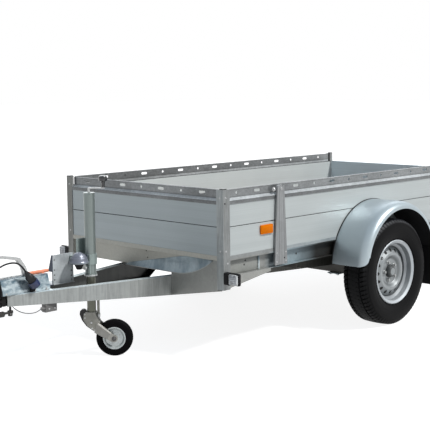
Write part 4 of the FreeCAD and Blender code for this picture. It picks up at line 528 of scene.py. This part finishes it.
def dress(obj, body="chassis", replaced=None):
    """Puts a piece on its body and hides the CAD node that it stands in for, if one is given."""
    if replaced:
        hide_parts(replaced)
    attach(obj, body)
    return obj


def add_mesh(name, vertices, faces, mat, angle=None):
    """A mesh object with one material, smooth over edges up to an angle in degrees."""
    data = bpy.data.meshes.new(name)
    data.from_pydata(vertices, [], faces)
    data.materials.append(mat)
    data.update()
    if angle is not None:
        data.polygons.foreach_set("use_smooth", [True] * len(data.polygons))
        data.set_sharp_from_angle(angle=math.radians(angle))
    return new_object(name, data)


def turned_points(profile, centre, axis, steps):
    """A profile of (along, radius) at each step of a turn about an axis."""
    direction = Vector(axis).normalized()
    side = direction.orthogonal().normalized()
    up = direction.cross(side)
    rows = []
    for step in range(steps):
        turn = TAU * step / steps
        out = side * math.cos(turn) + up * math.sin(turn)
        rows.append([Vector(centre) + direction * height + out * radius for height, radius in profile])
    return rows


def quads(rows, count, looped=False):
    """Quads between rings of points; looped joins the last ring to the first."""
    faces = []
    for row in range(rows if looped else rows - 1):
        first, second = row * count, (row + 1) % rows * count
        for index in range(count):
            after = (index + 1) % count
            faces.append((first + index, first + after, second + after, second + index))
    return faces


def tube(rows, count, flip=False):
    """Faces of a tube of rings, closed at both ends."""
    faces = quads(rows, count) + [tuple(reversed(range(count))), tuple(range((rows - 1) * count, rows * count))]
    return [face[::-1] for face in faces] if flip else faces


def turned_piece(name, profile, centre, axis, mat, steps, angle=40.0, body="chassis", replaced=None):
    """A closed profile of (along, radius), turned about an axis."""
    points = [spot for row in turned_points(profile, centre, axis, steps) for spot in row]
    obj = add_mesh(name, points, quads(steps, len(profile), True), mat, angle)
    mesh = bmesh.new()
    mesh.from_mesh(obj.data)
    bmesh.ops.recalc_face_normals(mesh, faces=mesh.faces)
    mesh.to_mesh(obj.data)
    mesh.free()
    return dress(obj, body, replaced)


class Hardware:
    """Bolts, washers, plates and other small pieces of one material, gathered in one mesh."""

    def __init__(self):
        self.vertices = []
        self.faces = []

    def add(self, vertices, faces):
        """A piece of vertices and faces."""
        start = len(self.vertices)
        self.vertices += [tuple(v) for v in vertices]
        self.faces += [tuple(start + index for index in face) for face in faces]

    def turned(self, profile, centre, axis, steps=20):
        """A piece turned from an open profile, closed at both ends."""
        rows = turned_points([(height, max(radius, 1e-5)) for height, radius in profile], centre, axis, steps)
        self.add([spot for ring in zip(*rows) for spot in ring], tube(len(profile), steps))

    def bolt(self, centre, axis, radius=0.0075):
        """A washer with a chamfered hexagon head."""
        washer, low, high = radius * 1.45, radius * 0.26, radius * 0.95
        self.turned([(0.0, washer), (radius * 0.22, washer), (low, radius * 1.38)], centre, axis, 18)
        self.turned([(low, radius), (high - radius * 0.12, radius), (high, radius * 0.86)], centre, axis, 6)

    def dome(self, centre, axis, radius=0.006, height=0.4):
        """A round rivet head."""
        self.turned([(0.0, radius), (radius * height * 0.6, radius * 0.86), (radius * height * 0.9, radius * 0.5),
                     (radius * height, radius * 0.1)], centre, axis, 14)

    def spot(self, centre, axis, radius):
        """A shallow round spot."""
        self.turned([(0.0, radius), (0.0004, radius), (0.0006, radius * 0.9)], centre, axis, 16)

    def block(self, low, high, edge=0.001):
        """A plate or block with rounded edges."""
        mesh = bmesh.new()
        bmesh.ops.create_cube(mesh, size=1.0)
        bmesh.ops.scale(mesh, vec=Vector(high) - Vector(low), verts=mesh.verts)
        bmesh.ops.bevel(mesh, geom=list(mesh.edges), offset=edge, segments=2, affect="EDGES", profile=0.5)
        bmesh.ops.translate(mesh, vec=(Vector(high) + Vector(low)) / 2, verts=mesh.verts)
        mesh.verts.index_update()
        self.add([v.co.copy() for v in mesh.verts], [tuple(v.index for v in face.verts) for face in mesh.faces])
        mesh.free()

    def blocks(self, low, high, edge=0.001):
        """A block on the left, and its mirror image on the right."""
        for side, _ in SIDES:
            near, far = sorted((side * low[1], side * high[1]))
            self.block((low[0], near, low[2]), (high[0], far, high[2]), edge)

    def finish(self, name, mat, slot, body="chassis", replaced=None):
        """The piece that was gathered."""
        return dress(add_mesh(name, self.vertices, self.faces, mat, 30.0), body, replaced)


def mirrored_blocks(name, mat, slot, *sizes, replaced=None):
    """A piece of blocks of (low, high, edge) that are given for the left and mirrored to the right."""
    parts = Hardware()
    for low, high, edge in sizes:
        parts.blocks(low, high, edge)
    parts.finish(name, mat, slot, replaced=replaced)


def mm(*points):
    """Points given in millimetres."""
    return [tuple(value / 1000 for value in point) for point in points]


# Cords: the lighting cable from the drawbar's tip to its parked plug, and the breakaway wire under the drawbar

def cord_curve(name, route, diameter, mat, replaced):
    """A smooth cord whose control points are its route."""
    data = bpy.data.curves.new(name, "CURVE")
    data.dimensions = "3D"
    data.resolution_u = 20
    data.bevel_depth = diameter / 2
    data.bevel_resolution = 5
    data.use_fill_caps = True
    spline = data.splines.new("NURBS")
    spline.points.add(len(route) - 1)
    for point, spot in zip(spline.points, route):
        point.co = (*spot, 1.0)
    spline.order_u = 3
    spline.use_endpoint_u = True
    data.materials.append(mat)
    return dress(new_object(name, data), replaced=replaced)


CABLE_ROUTE = mm(
    (1605, 22, 364), (1648, 30, 361), (1688, 54, 372), (1712, 76, 403), (1718, 82, 452), (1705, 79, 502),
    (1676, 75, 545), (1633, 73, 572), (1585, 73, 583), (1540, 74, 580), (1508, 74, 560), (1485.98, 74, 529))
WIRE_ROUTE = mm(
    (1545, 38, 351.6), (1532, 42, 336), (1502, 50, 316), (1467, 58, 305), (1432, 66, 304), (1409, 70, 311),
    (1395.8, 72, 319))
PLUG_FOOT = Vector((1.429, 0.074, 0.45))
PLUG_LEAN = math.radians(35.8)
PLUG_AXIS = Vector((math.sin(PLUG_LEAN), 0.0, math.cos(PLUG_LEAN)))

plug_profile = mm((0.5, 0), (0.5, 19), (3, 22.2), (27, 22.6))
for index in range(4):
    start = 0.029 + index * 0.007
    plug_profile += [(start, 0.0226), (start + 0.0008, 0.0212), (start + 0.0022, 0.0212), (start + 0.003, 0.0228)]
plug_profile += mm((58.4, 22.6), (62, 20.8), (69, 18), (72.1, 17))
for index in range(4):
    start = 0.0735 + index * 0.0052
    wide = 0.0158 - index * 0.002
    plug_profile += [(start, wide), (start + 0.0012, wide - 0.0016), (start + 0.0026, wide - 0.0018)]
plug_profile += mm((95, 7.2), (97.4, 6), (97.4, 0))
plug = turned_piece("plug_body_ribbed", plug_profile, PLUG_FOOT, PLUG_AXIS, BLACK, 40, 35.0,
                    replaced="plug")
cable = cord_curve("lighting_cable_run", CABLE_ROUTE, 0.009, RUBBER, "lighting_cable")
wire = cord_curve("breakaway_wire_run", WIRE_ROUTE, 0.004, BLACK, "breakaway_wire")

leaving = (Vector(CABLE_ROUTE[1]) - Vector(CABLE_ROUTE[0])).normalized()
turned_piece("cable_strain_relief", mm(
    (-1, 0), (-1, 11.5), (3.5, 11.5), (4.5, 8.8), (8.5, 8.4), (9.5, 7.6), (13.5, 7.4), (14.5, 6.6), (19.5, 6.3),
    (23.5, 5.4), (24, 0)), CABLE_ROUTE[0], leaving, RUBBER, 28, 35.0)
turned_piece("plug_holder_sleeve", mm(
    (-5.6, 0), (-5.6, 25.5), (-4, 28), (28.5, 28.5), (30, 28), (30, 23.5), (28.8, 23.2), (-3, 23.2), (-3, 0)),
    PLUG_FOOT, PLUG_AXIS, BLUE, 44, 35.0)


# Gaiter of rounded folds

FOLDS, GAITER_LENGTH, GAITER_BORE = 6, 0.12, 0.0256
gaiter_profile = [(0.0, GAITER_BORE)]
for step in range(FOLDS * 8 + 1):
    share = step / (FOLDS * 8)
    gaiter_profile.append((GAITER_LENGTH * share, 0.0478 - 0.0056 * math.cos(TAU * FOLDS * share)))
gaiter_profile.append((GAITER_LENGTH, GAITER_BORE))
turned_piece("gaiter_folds", gaiter_profile, (1.607, 0.0, 0.435), AHEAD, RUBBER, 56, 60.0, replaced="gaiter")


# Tyres with tread

def tread_depth(offset, turn):
    """How far the tread and its shoulders lie under the crown, at an offset from the middle and an angle."""
    side = abs(offset)
    phase = (turn * PITCHES / TAU + offset * SLANT) % 1.0
    if side >= SHOULDER:
        return 0.0035 if side < 0.085 and phase < 0.2 else 0.0
    for groove, half_width in ((0.0145, 0.0042), (0.042, 0.0046)):
        if abs(side - groove) < half_width:
            return 0.008
    if side > OUTER_RIB and phase < 0.2:
        return 0.006
    if 0.019 < side < 0.037 and phase < 0.12:
        return 0.004
    if side < 0.01 and 0.44 < phase < 0.54:
        return 0.003
    return 0.0


def road_tyre(side, tag):
    """A 185 mm wide van tyre with ribs, sipes and ringed sidewalls."""
    steps = 432
    crown = [(offset, 0.3218 - 0.003 * (offset / 0.067) ** 2.4) for offset in (
        0.0, 0.005, 0.0098, 0.0103, 0.0187, 0.0192, 0.024, 0.031, 0.037, 0.0375, 0.0465, 0.047, 0.054, 0.061, 0.067)]
    wall = mm(
        (72, 315), (77.5, 308), (79, 307.8), (83.5, 300), (86.8, 292), (88.2, 291.6), (90.5, 280), (92, 266),
        (92.5, 258), (92.1, 248), (90.8, 240), (91.4, 239), (90, 231), (87.8, 222), (85, 213), (82.2, 207),
        (83.6, 205), (82.2, 202), (79.5, 200), (74.5, 199), (72, 194), (69, 180), (48, 179))
    half = crown + wall
    profile = [(-offset, radius) for offset, radius in reversed(half)] + half[1:]
    vertices, faces = [], []
    count = len(profile)
    for step in range(steps):
        turn = TAU * step / steps
        for offset, radius in profile:
            reach = radius - tread_depth(offset, turn)
            vertices.append((WHEEL.x + reach * math.sin(turn), side * HALF_TRACK + offset,
                             WHEEL.z + reach * math.cos(turn)))
    for step in range(steps):
        first, second = step * count, (step + 1) % steps * count
        for index in range(count - 1):
            faces.append((first + index, second + index, second + index + 1, first + index + 1))
    dress(add_mesh("tyre_tread_" + tag, vertices, faces, TYRE, 32.0), tag + "_wheel", "tyre_" + tag)


for side, tag in SIDES:
    road_tyre(side, tag)

jockey_side = mm((13, 99.3), (17.5, 97.5), (21.5, 93), (24, 87), (24.8, 80), (24.8, 61.2))
jockey_profile = [(-offset, radius) for offset, radius in reversed(jockey_side)] + mm(
    (-12.2, 96.8), (-10, 96.8), (-9.2, 99.7), (-4.2, 100), (-3.4, 97), (-1.1, 97), (-0.3, 100), (0.5, 100),
    (4.8, 99.9), (5.6, 97), (7.9, 97), (8.7, 99.7)) + jockey_side
turned_piece("jockey_tyre_grooved", jockey_profile, HUB, ACROSS, JOCKEY_TYRE, 96, 35.0, "jockey_roller",
             "jockey_tyre")


# Wheel bolts, valves, vents and hub caps

VENTS, VENT_STEPS = 16, 20
VENT_SLOPE = math.atan2(0.03, 0.046)


def on_wheel(turn, reach, out):
    """A place on the left or right wheel, at an angle and a distance from its axis; out is its Y."""
    return WHEEL + Vector((reach * math.sin(turn), out, reach * math.cos(turn)))


def wheel_vents(parts, side):
    """Dark ovals on the sloping ring of the rim: painted shade over the vent holes."""
    out = Vector((0.0, side, 0.0))
    for index in range(VENTS):
        turn = TAU * index / VENTS
        radial = Vector((math.cos(turn), 0.0, math.sin(turn)))
        around = Vector((-math.sin(turn), 0.0, math.cos(turn)))
        down_slope = radial * math.cos(VENT_SLOPE) - out * math.sin(VENT_SLOPE)
        up_slope = radial * math.sin(VENT_SLOPE) + out * math.cos(VENT_SLOPE)
        middle = WHEEL + out * 0.8128 + radial * 0.129
        oval = []
        for lift in (0.0, 0.0009):
            for step in range(VENT_STEPS):
                angle = TAU * step / VENT_STEPS
                oval.append(middle + up_slope * lift + down_slope * (0.0128 * math.cos(angle)) +
                            around * (0.0104 * math.sin(angle)))
        parts.add(oval, tube(2, VENT_STEPS))


for side, tag in SIDES:
    body, out = tag + "_wheel", (0, side, 0)
    parts, vents, cap = Hardware(), Hardware(), Hardware()
    for index in range(5):
        spot = on_wheel(TAU * index / 5 + 0.3, 0.056, side * 0.809)
        parts.turned(mm((0, 12), (2.5, 12), (4, 10)), spot, out)
        parts.turned(mm((4, 9), (11.5, 9), (13.5, 7.4)), spot, out, 6)
    parts.turned(mm((0, 5.5), (12, 5), (26, 4), (34, 4.2), (36, 3)), on_wheel(0.9, 0.15, side * 0.806), out, 12)
    parts.finish("wheel_bolts_" + tag, BOLT, "bright_zinc", body)
    # A dark ring behind the vents: painted shade seen through them.
    turned_piece("vent_shade_" + tag, mm((12, 112.5), (-11.5, 150), (-13, 150), (10.5, 111.5)),
                 on_wheel(0.0, 0.0, side * 0.804), out, HOLE, 64, body=body)
    wheel_vents(vents, side)
    vents.finish("wheel_vents_" + tag, HOLE, "cast", body)
    cap.turned(mm((0, 34.5), (18, 34.5), (20.5, 33), (25, 31.8), (27.8, 28.5), (28.8, 23.5), (29, 8), (29.4, 6),
                  (29.4, 0.5)), on_wheel(0.0, 0.0, side * 0.8055), out, 40)
    cap.finish("hub_cap_" + tag, CAP_SHADED, "silver_paint", body)


# Mudguards: a swept sheet with a wide oval shoulder and rounded ends, and a black sheet inside it as painted shade

GUARD_AXIS = Vector((FRONT - 1.297, 0.0, 0.367))
GUARD_WALL, GUARD_TOP = 0.6652, 0.385               # the guard's inner edge, and its radius over the tyre


def around_guard(side, y, radius, turn):
    """A place on a guard, at an angle about its axis."""
    return GUARD_AXIS + Vector((radius * math.cos(turn), side * y, radius * math.sin(turn)))


def guard_profile(inset):
    """(y, radius, share of the shoulder) across the guard, from the wall to its lip."""
    top = GUARD_TOP - inset
    points = [(GUARD_WALL + inset, 0.36, 0.0), (GUARD_WALL + inset, top - 0.0035, 0.0),
              (GUARD_WALL + 0.001 + inset, top - 0.001, 0.0)]
    points += [(0.669 + 0.176 * step / 6, top, 0.0) for step in range(7)]
    for step in range(1, 17):
        turn = math.pi / 2 * step / 16
        points.append((0.845 + (0.06 - inset) * math.sin(turn), 0.348 + (0.037 - inset) * math.cos(turn),
                       step / 16))
    points.append((0.905 - inset, 0.3425, 1.0))
    return points


def guard_sheet(name, side, outer, inner, mat, replaced=None):
    """A closed sheet between two insets of the guard's profile."""
    steps = 84
    profiles = [guard_profile(outer), guard_profile(inner)]
    count = len(profiles[0])
    vertices = []
    for profile in profiles:
        for y, radius, share in profile:
            start = math.radians(5.2 + 9.5 * (1 - math.sqrt(max(0.0, 1 - share * share))))
            for step in range(steps + 1):
                vertices.append(around_guard(side, y, radius, start + (math.pi - 2 * start) * step / steps))
    row, sheet = steps + 1, count * (steps + 1)
    faces = []
    for line in range(count - 1):
        for step in range(steps):
            a, b = line * row + step, (line + 1) * row + step
            quad = (a, b, b + 1, a + 1)
            faces.append(quad)
            faces.append(tuple(v + sheet for v in reversed(quad)))
        for a, b in ((line * row, (line + 1) * row), ((line + 1) * row + steps, line * row + steps)):
            faces.append((b, a, a + sheet, b + sheet))
    for line, flip in ((0, False), ((count - 1) * row, True)):
        for step in range(steps):
            quad = (line + step, line + step + 1, line + step + 1 + sheet, line + step + sheet)
            faces.append(quad[::-1] if flip else quad)
    if side < 0:
        faces = [face[::-1] for face in faces]
    dress(add_mesh(name, vertices, faces, mat, 50.0), replaced=replaced)


def guard_joint_shade(parts, side):
    """A black strip in the joint between wall and mudguard: painted shade where they meet."""
    section = mm((662.2, 383.8), (662.2, 387.6), (666, 388), (667.6, 386.2), (667.6, 383.8))
    steps = 72
    vertices = []
    for step in range(steps + 1):
        turn = math.radians(8.0 + 164.0 * step / steps)
        vertices += [around_guard(side, y, radius, turn) for y, radius in section]
    parts.add(vertices, tube(steps + 1, len(section), side > 0))


# Black strips where the mudguards meet the walls: painted shade.
joint_shades = Hardware()
for side, tag in SIDES:
    guard_joint_shade(joint_shades, side)
    guard_sheet("mudguard_skin_" + tag, side, 0.0, 0.0011, ZINC_GUARD, "mudguard_" + tag)
    guard_sheet("mudguard_painted_shade_" + tag, side, 0.0012, 0.0022, GUARD_SHADE_SHEET)
joint_shades.finish("mudguard_joint_shades", RUBBER, "rubber")


# Jockey wheel: knob, rivets, axle ends, rim and collars

def at_stem(trail, across, level):
    """A place by its distances from the stem, behind it and across, and its height."""
    return STEM + TRAIL * trail + ACROSS * across + Vector((0, 0, level))


turned_piece("crank_knob_turned", mm(
    (0.3, 0), (0.3, 10.8), (4, 11), (12, 9.8), (23, 10), (29, 11.8), (32.5, 16), (34.5, 21), (36.5, 23.2), (40, 24),
    (52, 24), (57, 22.8), (60.5, 19.6), (62.8, 14), (63.8, 7), (64, 0)),
    at_stem(0.076, 0.0, 0.919), UP, GLOSS, 40, replaced="crank_knob")

fork_bolts, axle_ends, rim_detail = Hardware(), Hardware(), Hardware()
for way, tag in ((1, "near"), (-1, "far")):
    out = ACROSS * way
    for trail, level, size in ((-0.033, 0.236, 0.0048), (-0.033, 0.215, 0.0048), (0.001, 0.188, 0.006),
                               (0.004, 0.157, 0.0048), (0.019, 0.147, 0.0048)):
        fork_bolts.dome(at_stem(trail, way * 0.0318, level), out, size, 0.6)
    axle_ends.turned(mm((0, 13), (1.6, 13), (2, 12.4)), HUB + out * 0.035, out, 24)
    axle_ends.turned(mm((2, 9.8), (7.5, 9.8), (8.8, 8.2)), HUB + out * 0.035, out, 6)
    axle_ends.turned(mm((0, 5.6), (3.5, 5.6), (4.2, 4.6)), HUB + out * 0.0436, out, 16)
    for index in range(5):
        turn = TAU * index / 5 + 0.5
        radial = TRAIL * math.cos(turn) + Vector(UP) * math.sin(turn)
        rim_detail.dome(HUB + radial * 0.0335 + out * 0.0155, out, 0.0042, 0.8)
    turned_piece("jockey_rim_bead_" + tag, mm(
        (15, 52), (22.8, 52.8), (25.2, 55.6), (25.6, 59), (24.6, 61.8), (23.2, 61.2), (23.6, 59), (23, 56.6),
        (20.5, 54.8), (15, 54)), HUB, out, RIM_ZINC, 72, 50.0, "jockey_roller")
fork_bolts.turned(mm((0, 9.2), (4, 9.6), (16, 9.6), (19, 8)), at_stem(0.037, 0.0, 0.2135), UP, 18)
fork_bolts.finish("jockey_fork_bolts", PLATED, "bright_zinc", "jockey_caster")
axle_ends.finish("jockey_axle_ends", CAST, "cast", "jockey_caster")
rim_detail.finish("jockey_rim_rivets", PLATED, "bright_zinc", "jockey_roller")

turned_piece("bell_flange", mm(
    (518.5, 36), (519, 48), (520.5, 51.8), (524, 53), (528, 52.2), (531, 49.4), (535, 47.4), (543, 45.5),
    (550, 43.6), (552, 42), (552, 36)),
    BELL_MIDDLE, UP, BELL, 56, 50.0)
turned_piece("stem_collar_ring", mm(
    (440.5, 32), (440.5, 34.8), (442, 35.6), (447, 35.6), (448.5, 34.8), (449, 32)),
    STEM, UP, PLATED, 48, 50.0)
stem_cap = Hardware()
stem_cap.turned(mm((0, 31.5), (3.5, 31.5), (5, 30), (5.6, 12)), at_stem(0.0, 0.0, 0.8865), UP, 36)
stem_cap.finish("stem_cap", STEM_ZINC, "galvanised")
jaw = Hardware()
for level in (0.488, 0.534):
    jaw.bolt((1.088, 0.056, level), LEFT, 0.006)
jaw.finish("clamp_bolts", PLATED, "bright_zinc")


# Bolts, rivets, plates and holes on the body

PLATE_TOP = 0.414                                   # top of the head plate
SILL_FACE = 0.64                                    # outer face of the side sills
GUSSET_FACE = SILL_FACE + 0.0036

bolts = Hardware()
for side, _ in SIDES:
    out = (0, side, 0)
    for z, inward in ((0.868, 0.018), (0.585, 0.018), (0.52, 0.03)):
        bolts.dome((FRONT - inward, side * HALF, z), out, 0.0055)
        bolts.dome((REAR + 0.018, side * HALF, z), out, 0.0055)
    for x in (0.244, 0.168):
        for z in (0.48, 0.53):
            bolts.dome((x, side * STAKE_FACE, z), out, 0.005)
    bolts.bolt((0.2055, side * STAKE_FACE, 0.884), out, 0.006)
    bolts.turned(mm((0, 12.5), (2, 12.5), (3, 10.5), (3, 7), (7.5, 7), (9.5, 5)), (0.252, side * HALF, 0.884), out, 24)
    for z in (0.868, 0.585):
        bolts.dome((FRONT, side * 0.64, z), AHEAD, 0.0055)
    for x in (1.352, 1.42):
        bolts.bolt((x, side * (0.0585 + (1.42 - x) * 0.12), PLATE_TOP), UP, 0.007)
    for x in (1.34, 1.585):
        bolts.dome((x, side * 0.048, 0.421), out, 0.0055)
    for x in (1.755, 1.8):
        bolts.bolt((x, side * 0.029, 0.435), out)
    bolts.bolt((1.437, side * 0.019, 0.4985), out, 0.005)
    for x in (-0.5385, -0.4575):
        for y in (0.5, 0.556):
            bolts.bolt((x, side * y, 0.2985), (0, 0, -1), 0.007)
for x in (1.268, 1.308):
    bolts.bolt((x, -0.072, PLATE_TOP), UP, 0.0065)
bolts.finish("body_bolts", PLATED, "bright_zinc")


def side_post(parts, side):
    """A pressed post: two grooves down its face, bent edges, and a head that narrows and rounds off."""
    wall, edge, ridge, groove = HALF + 0.0005, HALF + 0.0115, STAKE_FACE, STAKE_FACE - 0.0022
    section = [(0.0, wall), (0.0, edge), (0.03, ridge), (0.2, ridge), (0.235, groove), (0.285, groove), (0.32, ridge),
               (0.68, ridge), (0.715, groove), (0.765, groove), (0.8, ridge), (0.97, ridge), (1.0, edge), (1.0, wall)]
    foot, neck, head = 0.462, 0.89, 0.016
    levels = [foot] + [0.465 + (neck - 0.465) * step / 12 for step in range(13)]
    levels += [neck + head * math.sin(math.pi / 2 * step / 6) for step in range(1, 7)]
    vertices = []
    for level in levels:
        share = min(1.0, (level - foot) / (neck - foot))
        front, rear = 0.259 - 0.024 * share, 0.152 + 0.025 * share
        if level > neck:
            inward = head * (1 - math.sqrt(max(0.0, 1 - ((level - neck) / head) ** 2)))
            front, rear = front - inward, rear + inward
        vertices += [(front + (rear - front) * part, side * y, level) for part, y in section]
    parts.add(vertices, tube(len(levels), len(section), side > 0))


posts, screws = Hardware(), Hardware()
for side, _ in SIDES:
    side_post(posts, side)
posts.finish("side_posts_pressed", ZINC_STAKE, "galvanised", replaced="side_posts")
for row in range(5):
    for index in range(-4, 5):
        screws.turned(mm((0, 5.2), (0.5, 5.2), (0.9, 4)), (FRONT - 0.14 - 0.505 * row, index * 0.148, 0.564), UP, 12)
screws.finish("floor_screws", PLATED, "bright_zinc")

mirrored_blocks("sill_gussets", GUSSET, "galvanised", ((0.362, SILL_FACE, 0.4545), (0.5995, GUSSET_FACE, 0.532), 0.001))
mirrored_blocks("sill_edges", ZINC_WHITE, "galvanised",
                ((0.356, SILL_FACE, 0.455), (0.364, SILL_FACE + 0.01, 0.5315), 0.0012),
                ((-0.55, 0.485, 0.2985), (-0.446, 0.57, 0.3052), 0.0015))
mirrored_blocks("front_sill_ends", ZINC_SILL, "galvanised", ((0.608, 0.6135, 0.432), (0.6488, 0.6158, 0.556), 0.0006))
holes, shade_plate = Hardware(), Hardware()
for x, y, z, radius in ((0.639, HALF, 0.8385, 0.005), (0.464, GUSSET_FACE, 0.515, 0.0052),
                        (0.473, GUSSET_FACE, 0.493, 0.0052), (0.034, SILL_FACE, 0.4975, 0.006),
                        (-1.35, SILL_FACE, 0.4975, 0.006), (0.18, STAKE_FACE, 0.497, 0.0045)):
    for side, _ in SIDES:
        holes.spot((x, side * y, z), (0, side, 0), radius)
holes.blocks((0.257, 0.66, 0.7085), (0.276, 0.6626, 0.715), 0.0006)
holes.finish("body_holes", HOLE, "black_plastic")
# A dark plate behind the bracket's holes: painted shade seen through them.
shade_plate.block((1.12, -0.0254, 0.424), (1.24, -0.0232, 0.56), 0.0004)
shade_plate.finish("bracket_shade_plate", ZINC_SHADED, "galvanised")

JOINT_LOW, JOINT_HIGH = 0.7107, 0.7133              # the line between two planks
JOINT_HALF, JOINT_EDGE = 0.0006, 0.0003             # half its thickness, and its rounding
joints, gate_joints = Hardware(), Hardware()
for face in (0.6613, 0.6427):
    joints.blocks((REAR + 0.052, face - JOINT_HALF, JOINT_LOW), (FRONT - 0.052, face + JOINT_HALF, JOINT_HIGH),
                  JOINT_EDGE)
for group, reach, planks in ((joints, 0.612, (0.6483, 0.6297)), (gate_joints, 0.631, (REAR + 0.0007, REAR + 0.0193))):
    for face in planks:
        group.block((face - JOINT_HALF, -reach, JOINT_LOW), (face + JOINT_HALF, reach, JOINT_HIGH), JOINT_EDGE)
joints.finish("plank_joints", HOLE, "aluminium")
gate_joints.finish("gate_joints", HOLE, "aluminium", "tailgate_door")

hook, box_screws = Hardware(), Hardware()
hook.turned(mm((0, 11), (3, 12.5), (10, 12.5), (13, 10)), (1.55, 0.024, 0.303), UP, 6)
hook.turned(mm((0, 15), (2, 15), (2.6, 14)), (1.55, 0.024, 0.3275), UP, 24)
hook.block((1.585, 0.013, 0.304), (1.63, 0.035, 0.333), 0.008)
hook.block((1.618, 0.015, 0.31), (1.652, 0.033, 0.342), 0.008)
hook.finish("safety_hook_body", FITTINGS, "galvanised")
for x in (1.315, 1.35):
    box_screws.dome((x, 0.082, 0.314), LEFT, 0.0048)
box_screws.turned(mm((0, 6), (1.6, 6), (2.4, 4)), (1.3945, 0.072, 0.319), AHEAD, 16)
box_screws.finish("cable_box_screws", PLATED, "bright_zinc")


# Lamps, reflectors and the rear end

mirrored_blocks("marker_rims", RUBBER, "rubber", ((0.62, 0.6935, 0.4105), (0.6405, 0.761, 0.4765), 0.007),
                ((0.62, 0.6945, 0.4105), (0.6535, 0.699, 0.4765), 0.002), replaced="front_marker_lenses")
mirrored_blocks("marker_lens_domes", CLEAR, "clear_lens", ((0.639, 0.6985, 0.4155), (0.6545, 0.757, 0.4715), 0.006))
mirrored_blocks("marker_rear_lenses", RED, "red_lens", ((0.6192, 0.7025, 0.4195), (0.6205, 0.753, 0.4675), 0.0005))
mirrored_blocks("side_reflector_faces", AMBER, "amber_lens", ((0.27, 0.669, 0.651), (0.359, 0.6712, 0.691), 0.001))
for name, mat, near, far in (("amber", AMBER, 0.578, 0.634), ("red", RED, 0.506, 0.572), ("clear", CLEAR, 0.436, 0.5)):
    mirrored_blocks("rear_lamp_" + name, mat, name + "_lens",
                    ((REAR - 0.0075, near, 0.361), (REAR + 0.001, far, 0.441), 0.003))

triangles, frames = Hardware(), Hardware()
PLATE_BACK, PLATE_FRONT = REAR + 0.03, REAR + 0.0275  # the number plate's frame
for side, _ in SIDES:
    middle = side * 0.345
    for group, reach, foot, depth in ((frames, 0.078, 0.356, 0.003), (triangles, 0.066, 0.361, 0.006)):
        corners = [(middle - reach, foot), (middle + reach, foot), (middle, foot + reach * 1.16)]
        vertices = [(REAR + 0.032, y, z) for y, z in corners]
        vertices += [(REAR + 0.032 - depth, middle + (y - middle) * 0.96, z) for y, z in corners]
        group.add(vertices, [(2, 1, 0), (3, 4, 5), (0, 1, 4, 3), (1, 2, 5, 4), (2, 0, 3, 5)])
triangles.finish("rear_triangles", RED, "red_lens")
for low in (0.35, 0.442):
    frames.block((PLATE_FRONT, -0.262, low), (PLATE_BACK, 0.262, low + 0.006))
frames.blocks((PLATE_FRONT, 0.256, 0.35), (PLATE_BACK, 0.262, 0.448))
frames.blocks((REAR + 0.002, 0.225, 0.452), (PLATE_BACK, 0.285, 0.47), 0.003)
frames.finish("rear_frames", BLACK, "black_plastic")

latch = Hardware()
BACK = (-1, 0, 0)
latch.blocks((REAR - 0.016, 0.527, 0.789), (REAR - 0.0095, 0.599, 0.805), 0.0025)
for side, _ in SIDES:
    latch.bolt((REAR - 0.01, side * 0.533, 0.782), BACK, 0.004)
    for z in (0.811, 0.783):
        latch.dome((REAR - 0.01, side * 0.599, z), BACK, 0.004)
for index in (-1, 0, 1):
    for y in (-0.009, 0.009):
        for z in (0.586, 0.604):
            latch.dome((REAR - 0.003, index * 0.45 + y, z), BACK, 0.0036)
latch.finish("tailgate_hardware", PLATED, "bright_zinc", "tailgate_door")


# Floor and light

def background_share(nodes):
    """1 for camera, mirror and glass rays, 0 for the light that falls on the object."""
    rays = nodes.tree.nodes.new("ShaderNodeLightPath").outputs
    seen = nodes.math("MAXIMUM", rays["Is Camera Ray"], rays["Is Glossy Ray"])
    return nodes.math("MAXIMUM", seen, rays["Is Transmission Ray"])


def stage_plane(name, size):
    """The pale floor: white where it is seen, with the object's shadow on it."""
    look = Look(name)
    look.fill(look.shader, {"Base Color": (0.3, 0.3, 0.3, 1.0), "Roughness": 0.9, "Specular IOR Level": 0.0})
    glow = look.add("Emission", "Emission", {"Color": (*WHITE, 1.0),
                                             "Strength": look.span(background_share(look), 0.0, 0.88)})
    look.fill(look.out, {"Surface": look.add("AddShader", "Shader", {0: look.shader.outputs["BSDF"], 1: glow})})
    corners = [(-size, -size, 0), (size, -size, 0), (size, size, 0), (-size, size, 0)]
    add_mesh(name, corners, [(0, 1, 2, 3)], look.mat)


stage_plane("studio_floor", 60.0)

world = bpy.data.worlds.new("studio")
bpy.context.scene.world = world
world.use_nodes = True
sky = Nodes(world.node_tree)
height = sky.add("SeparateXYZ", "Z", {"Vector": sky.add("TexCoord", "Generated", {})})
seen = sky.add("Background", "Background", {"Color": sky.blend(height, WHITE, (0.5, 0.58, 0.66), 0.14, 0.95)})
lit = sky.blend(height, (0.92, 0.93, 0.95), (0.62, 0.72, 0.86), 0.0, 0.85)
lit = sky.add("Background", "Background", {"Color": lit, "Strength": 0.42})
both = sky.add("MixShader", "Shader", {"Fac": background_share(sky), 1: lit, 2: seen})
sky.fill(sky.tree.nodes.new("ShaderNodeOutputWorld"), {"Surface": both})


def sun(name, direction, strength, softness, colour):
    """A soft distant light that shines along a direction."""
    data = bpy.data.lights.new(name, "SUN")
    data.energy = strength
    data.angle = math.radians(softness)
    data.color = colour
    new_object(name, data).rotation_euler = Vector(direction).to_track_quat("-Z", "Y").to_euler()


sun("key", (0.28, -0.66, -0.92), 4.0, 10.0, (1.0, 0.985, 0.96))
sun("fill", (0.6, 0.65, -0.45), 0.9, 50.0, (0.94, 0.97, 1.0))
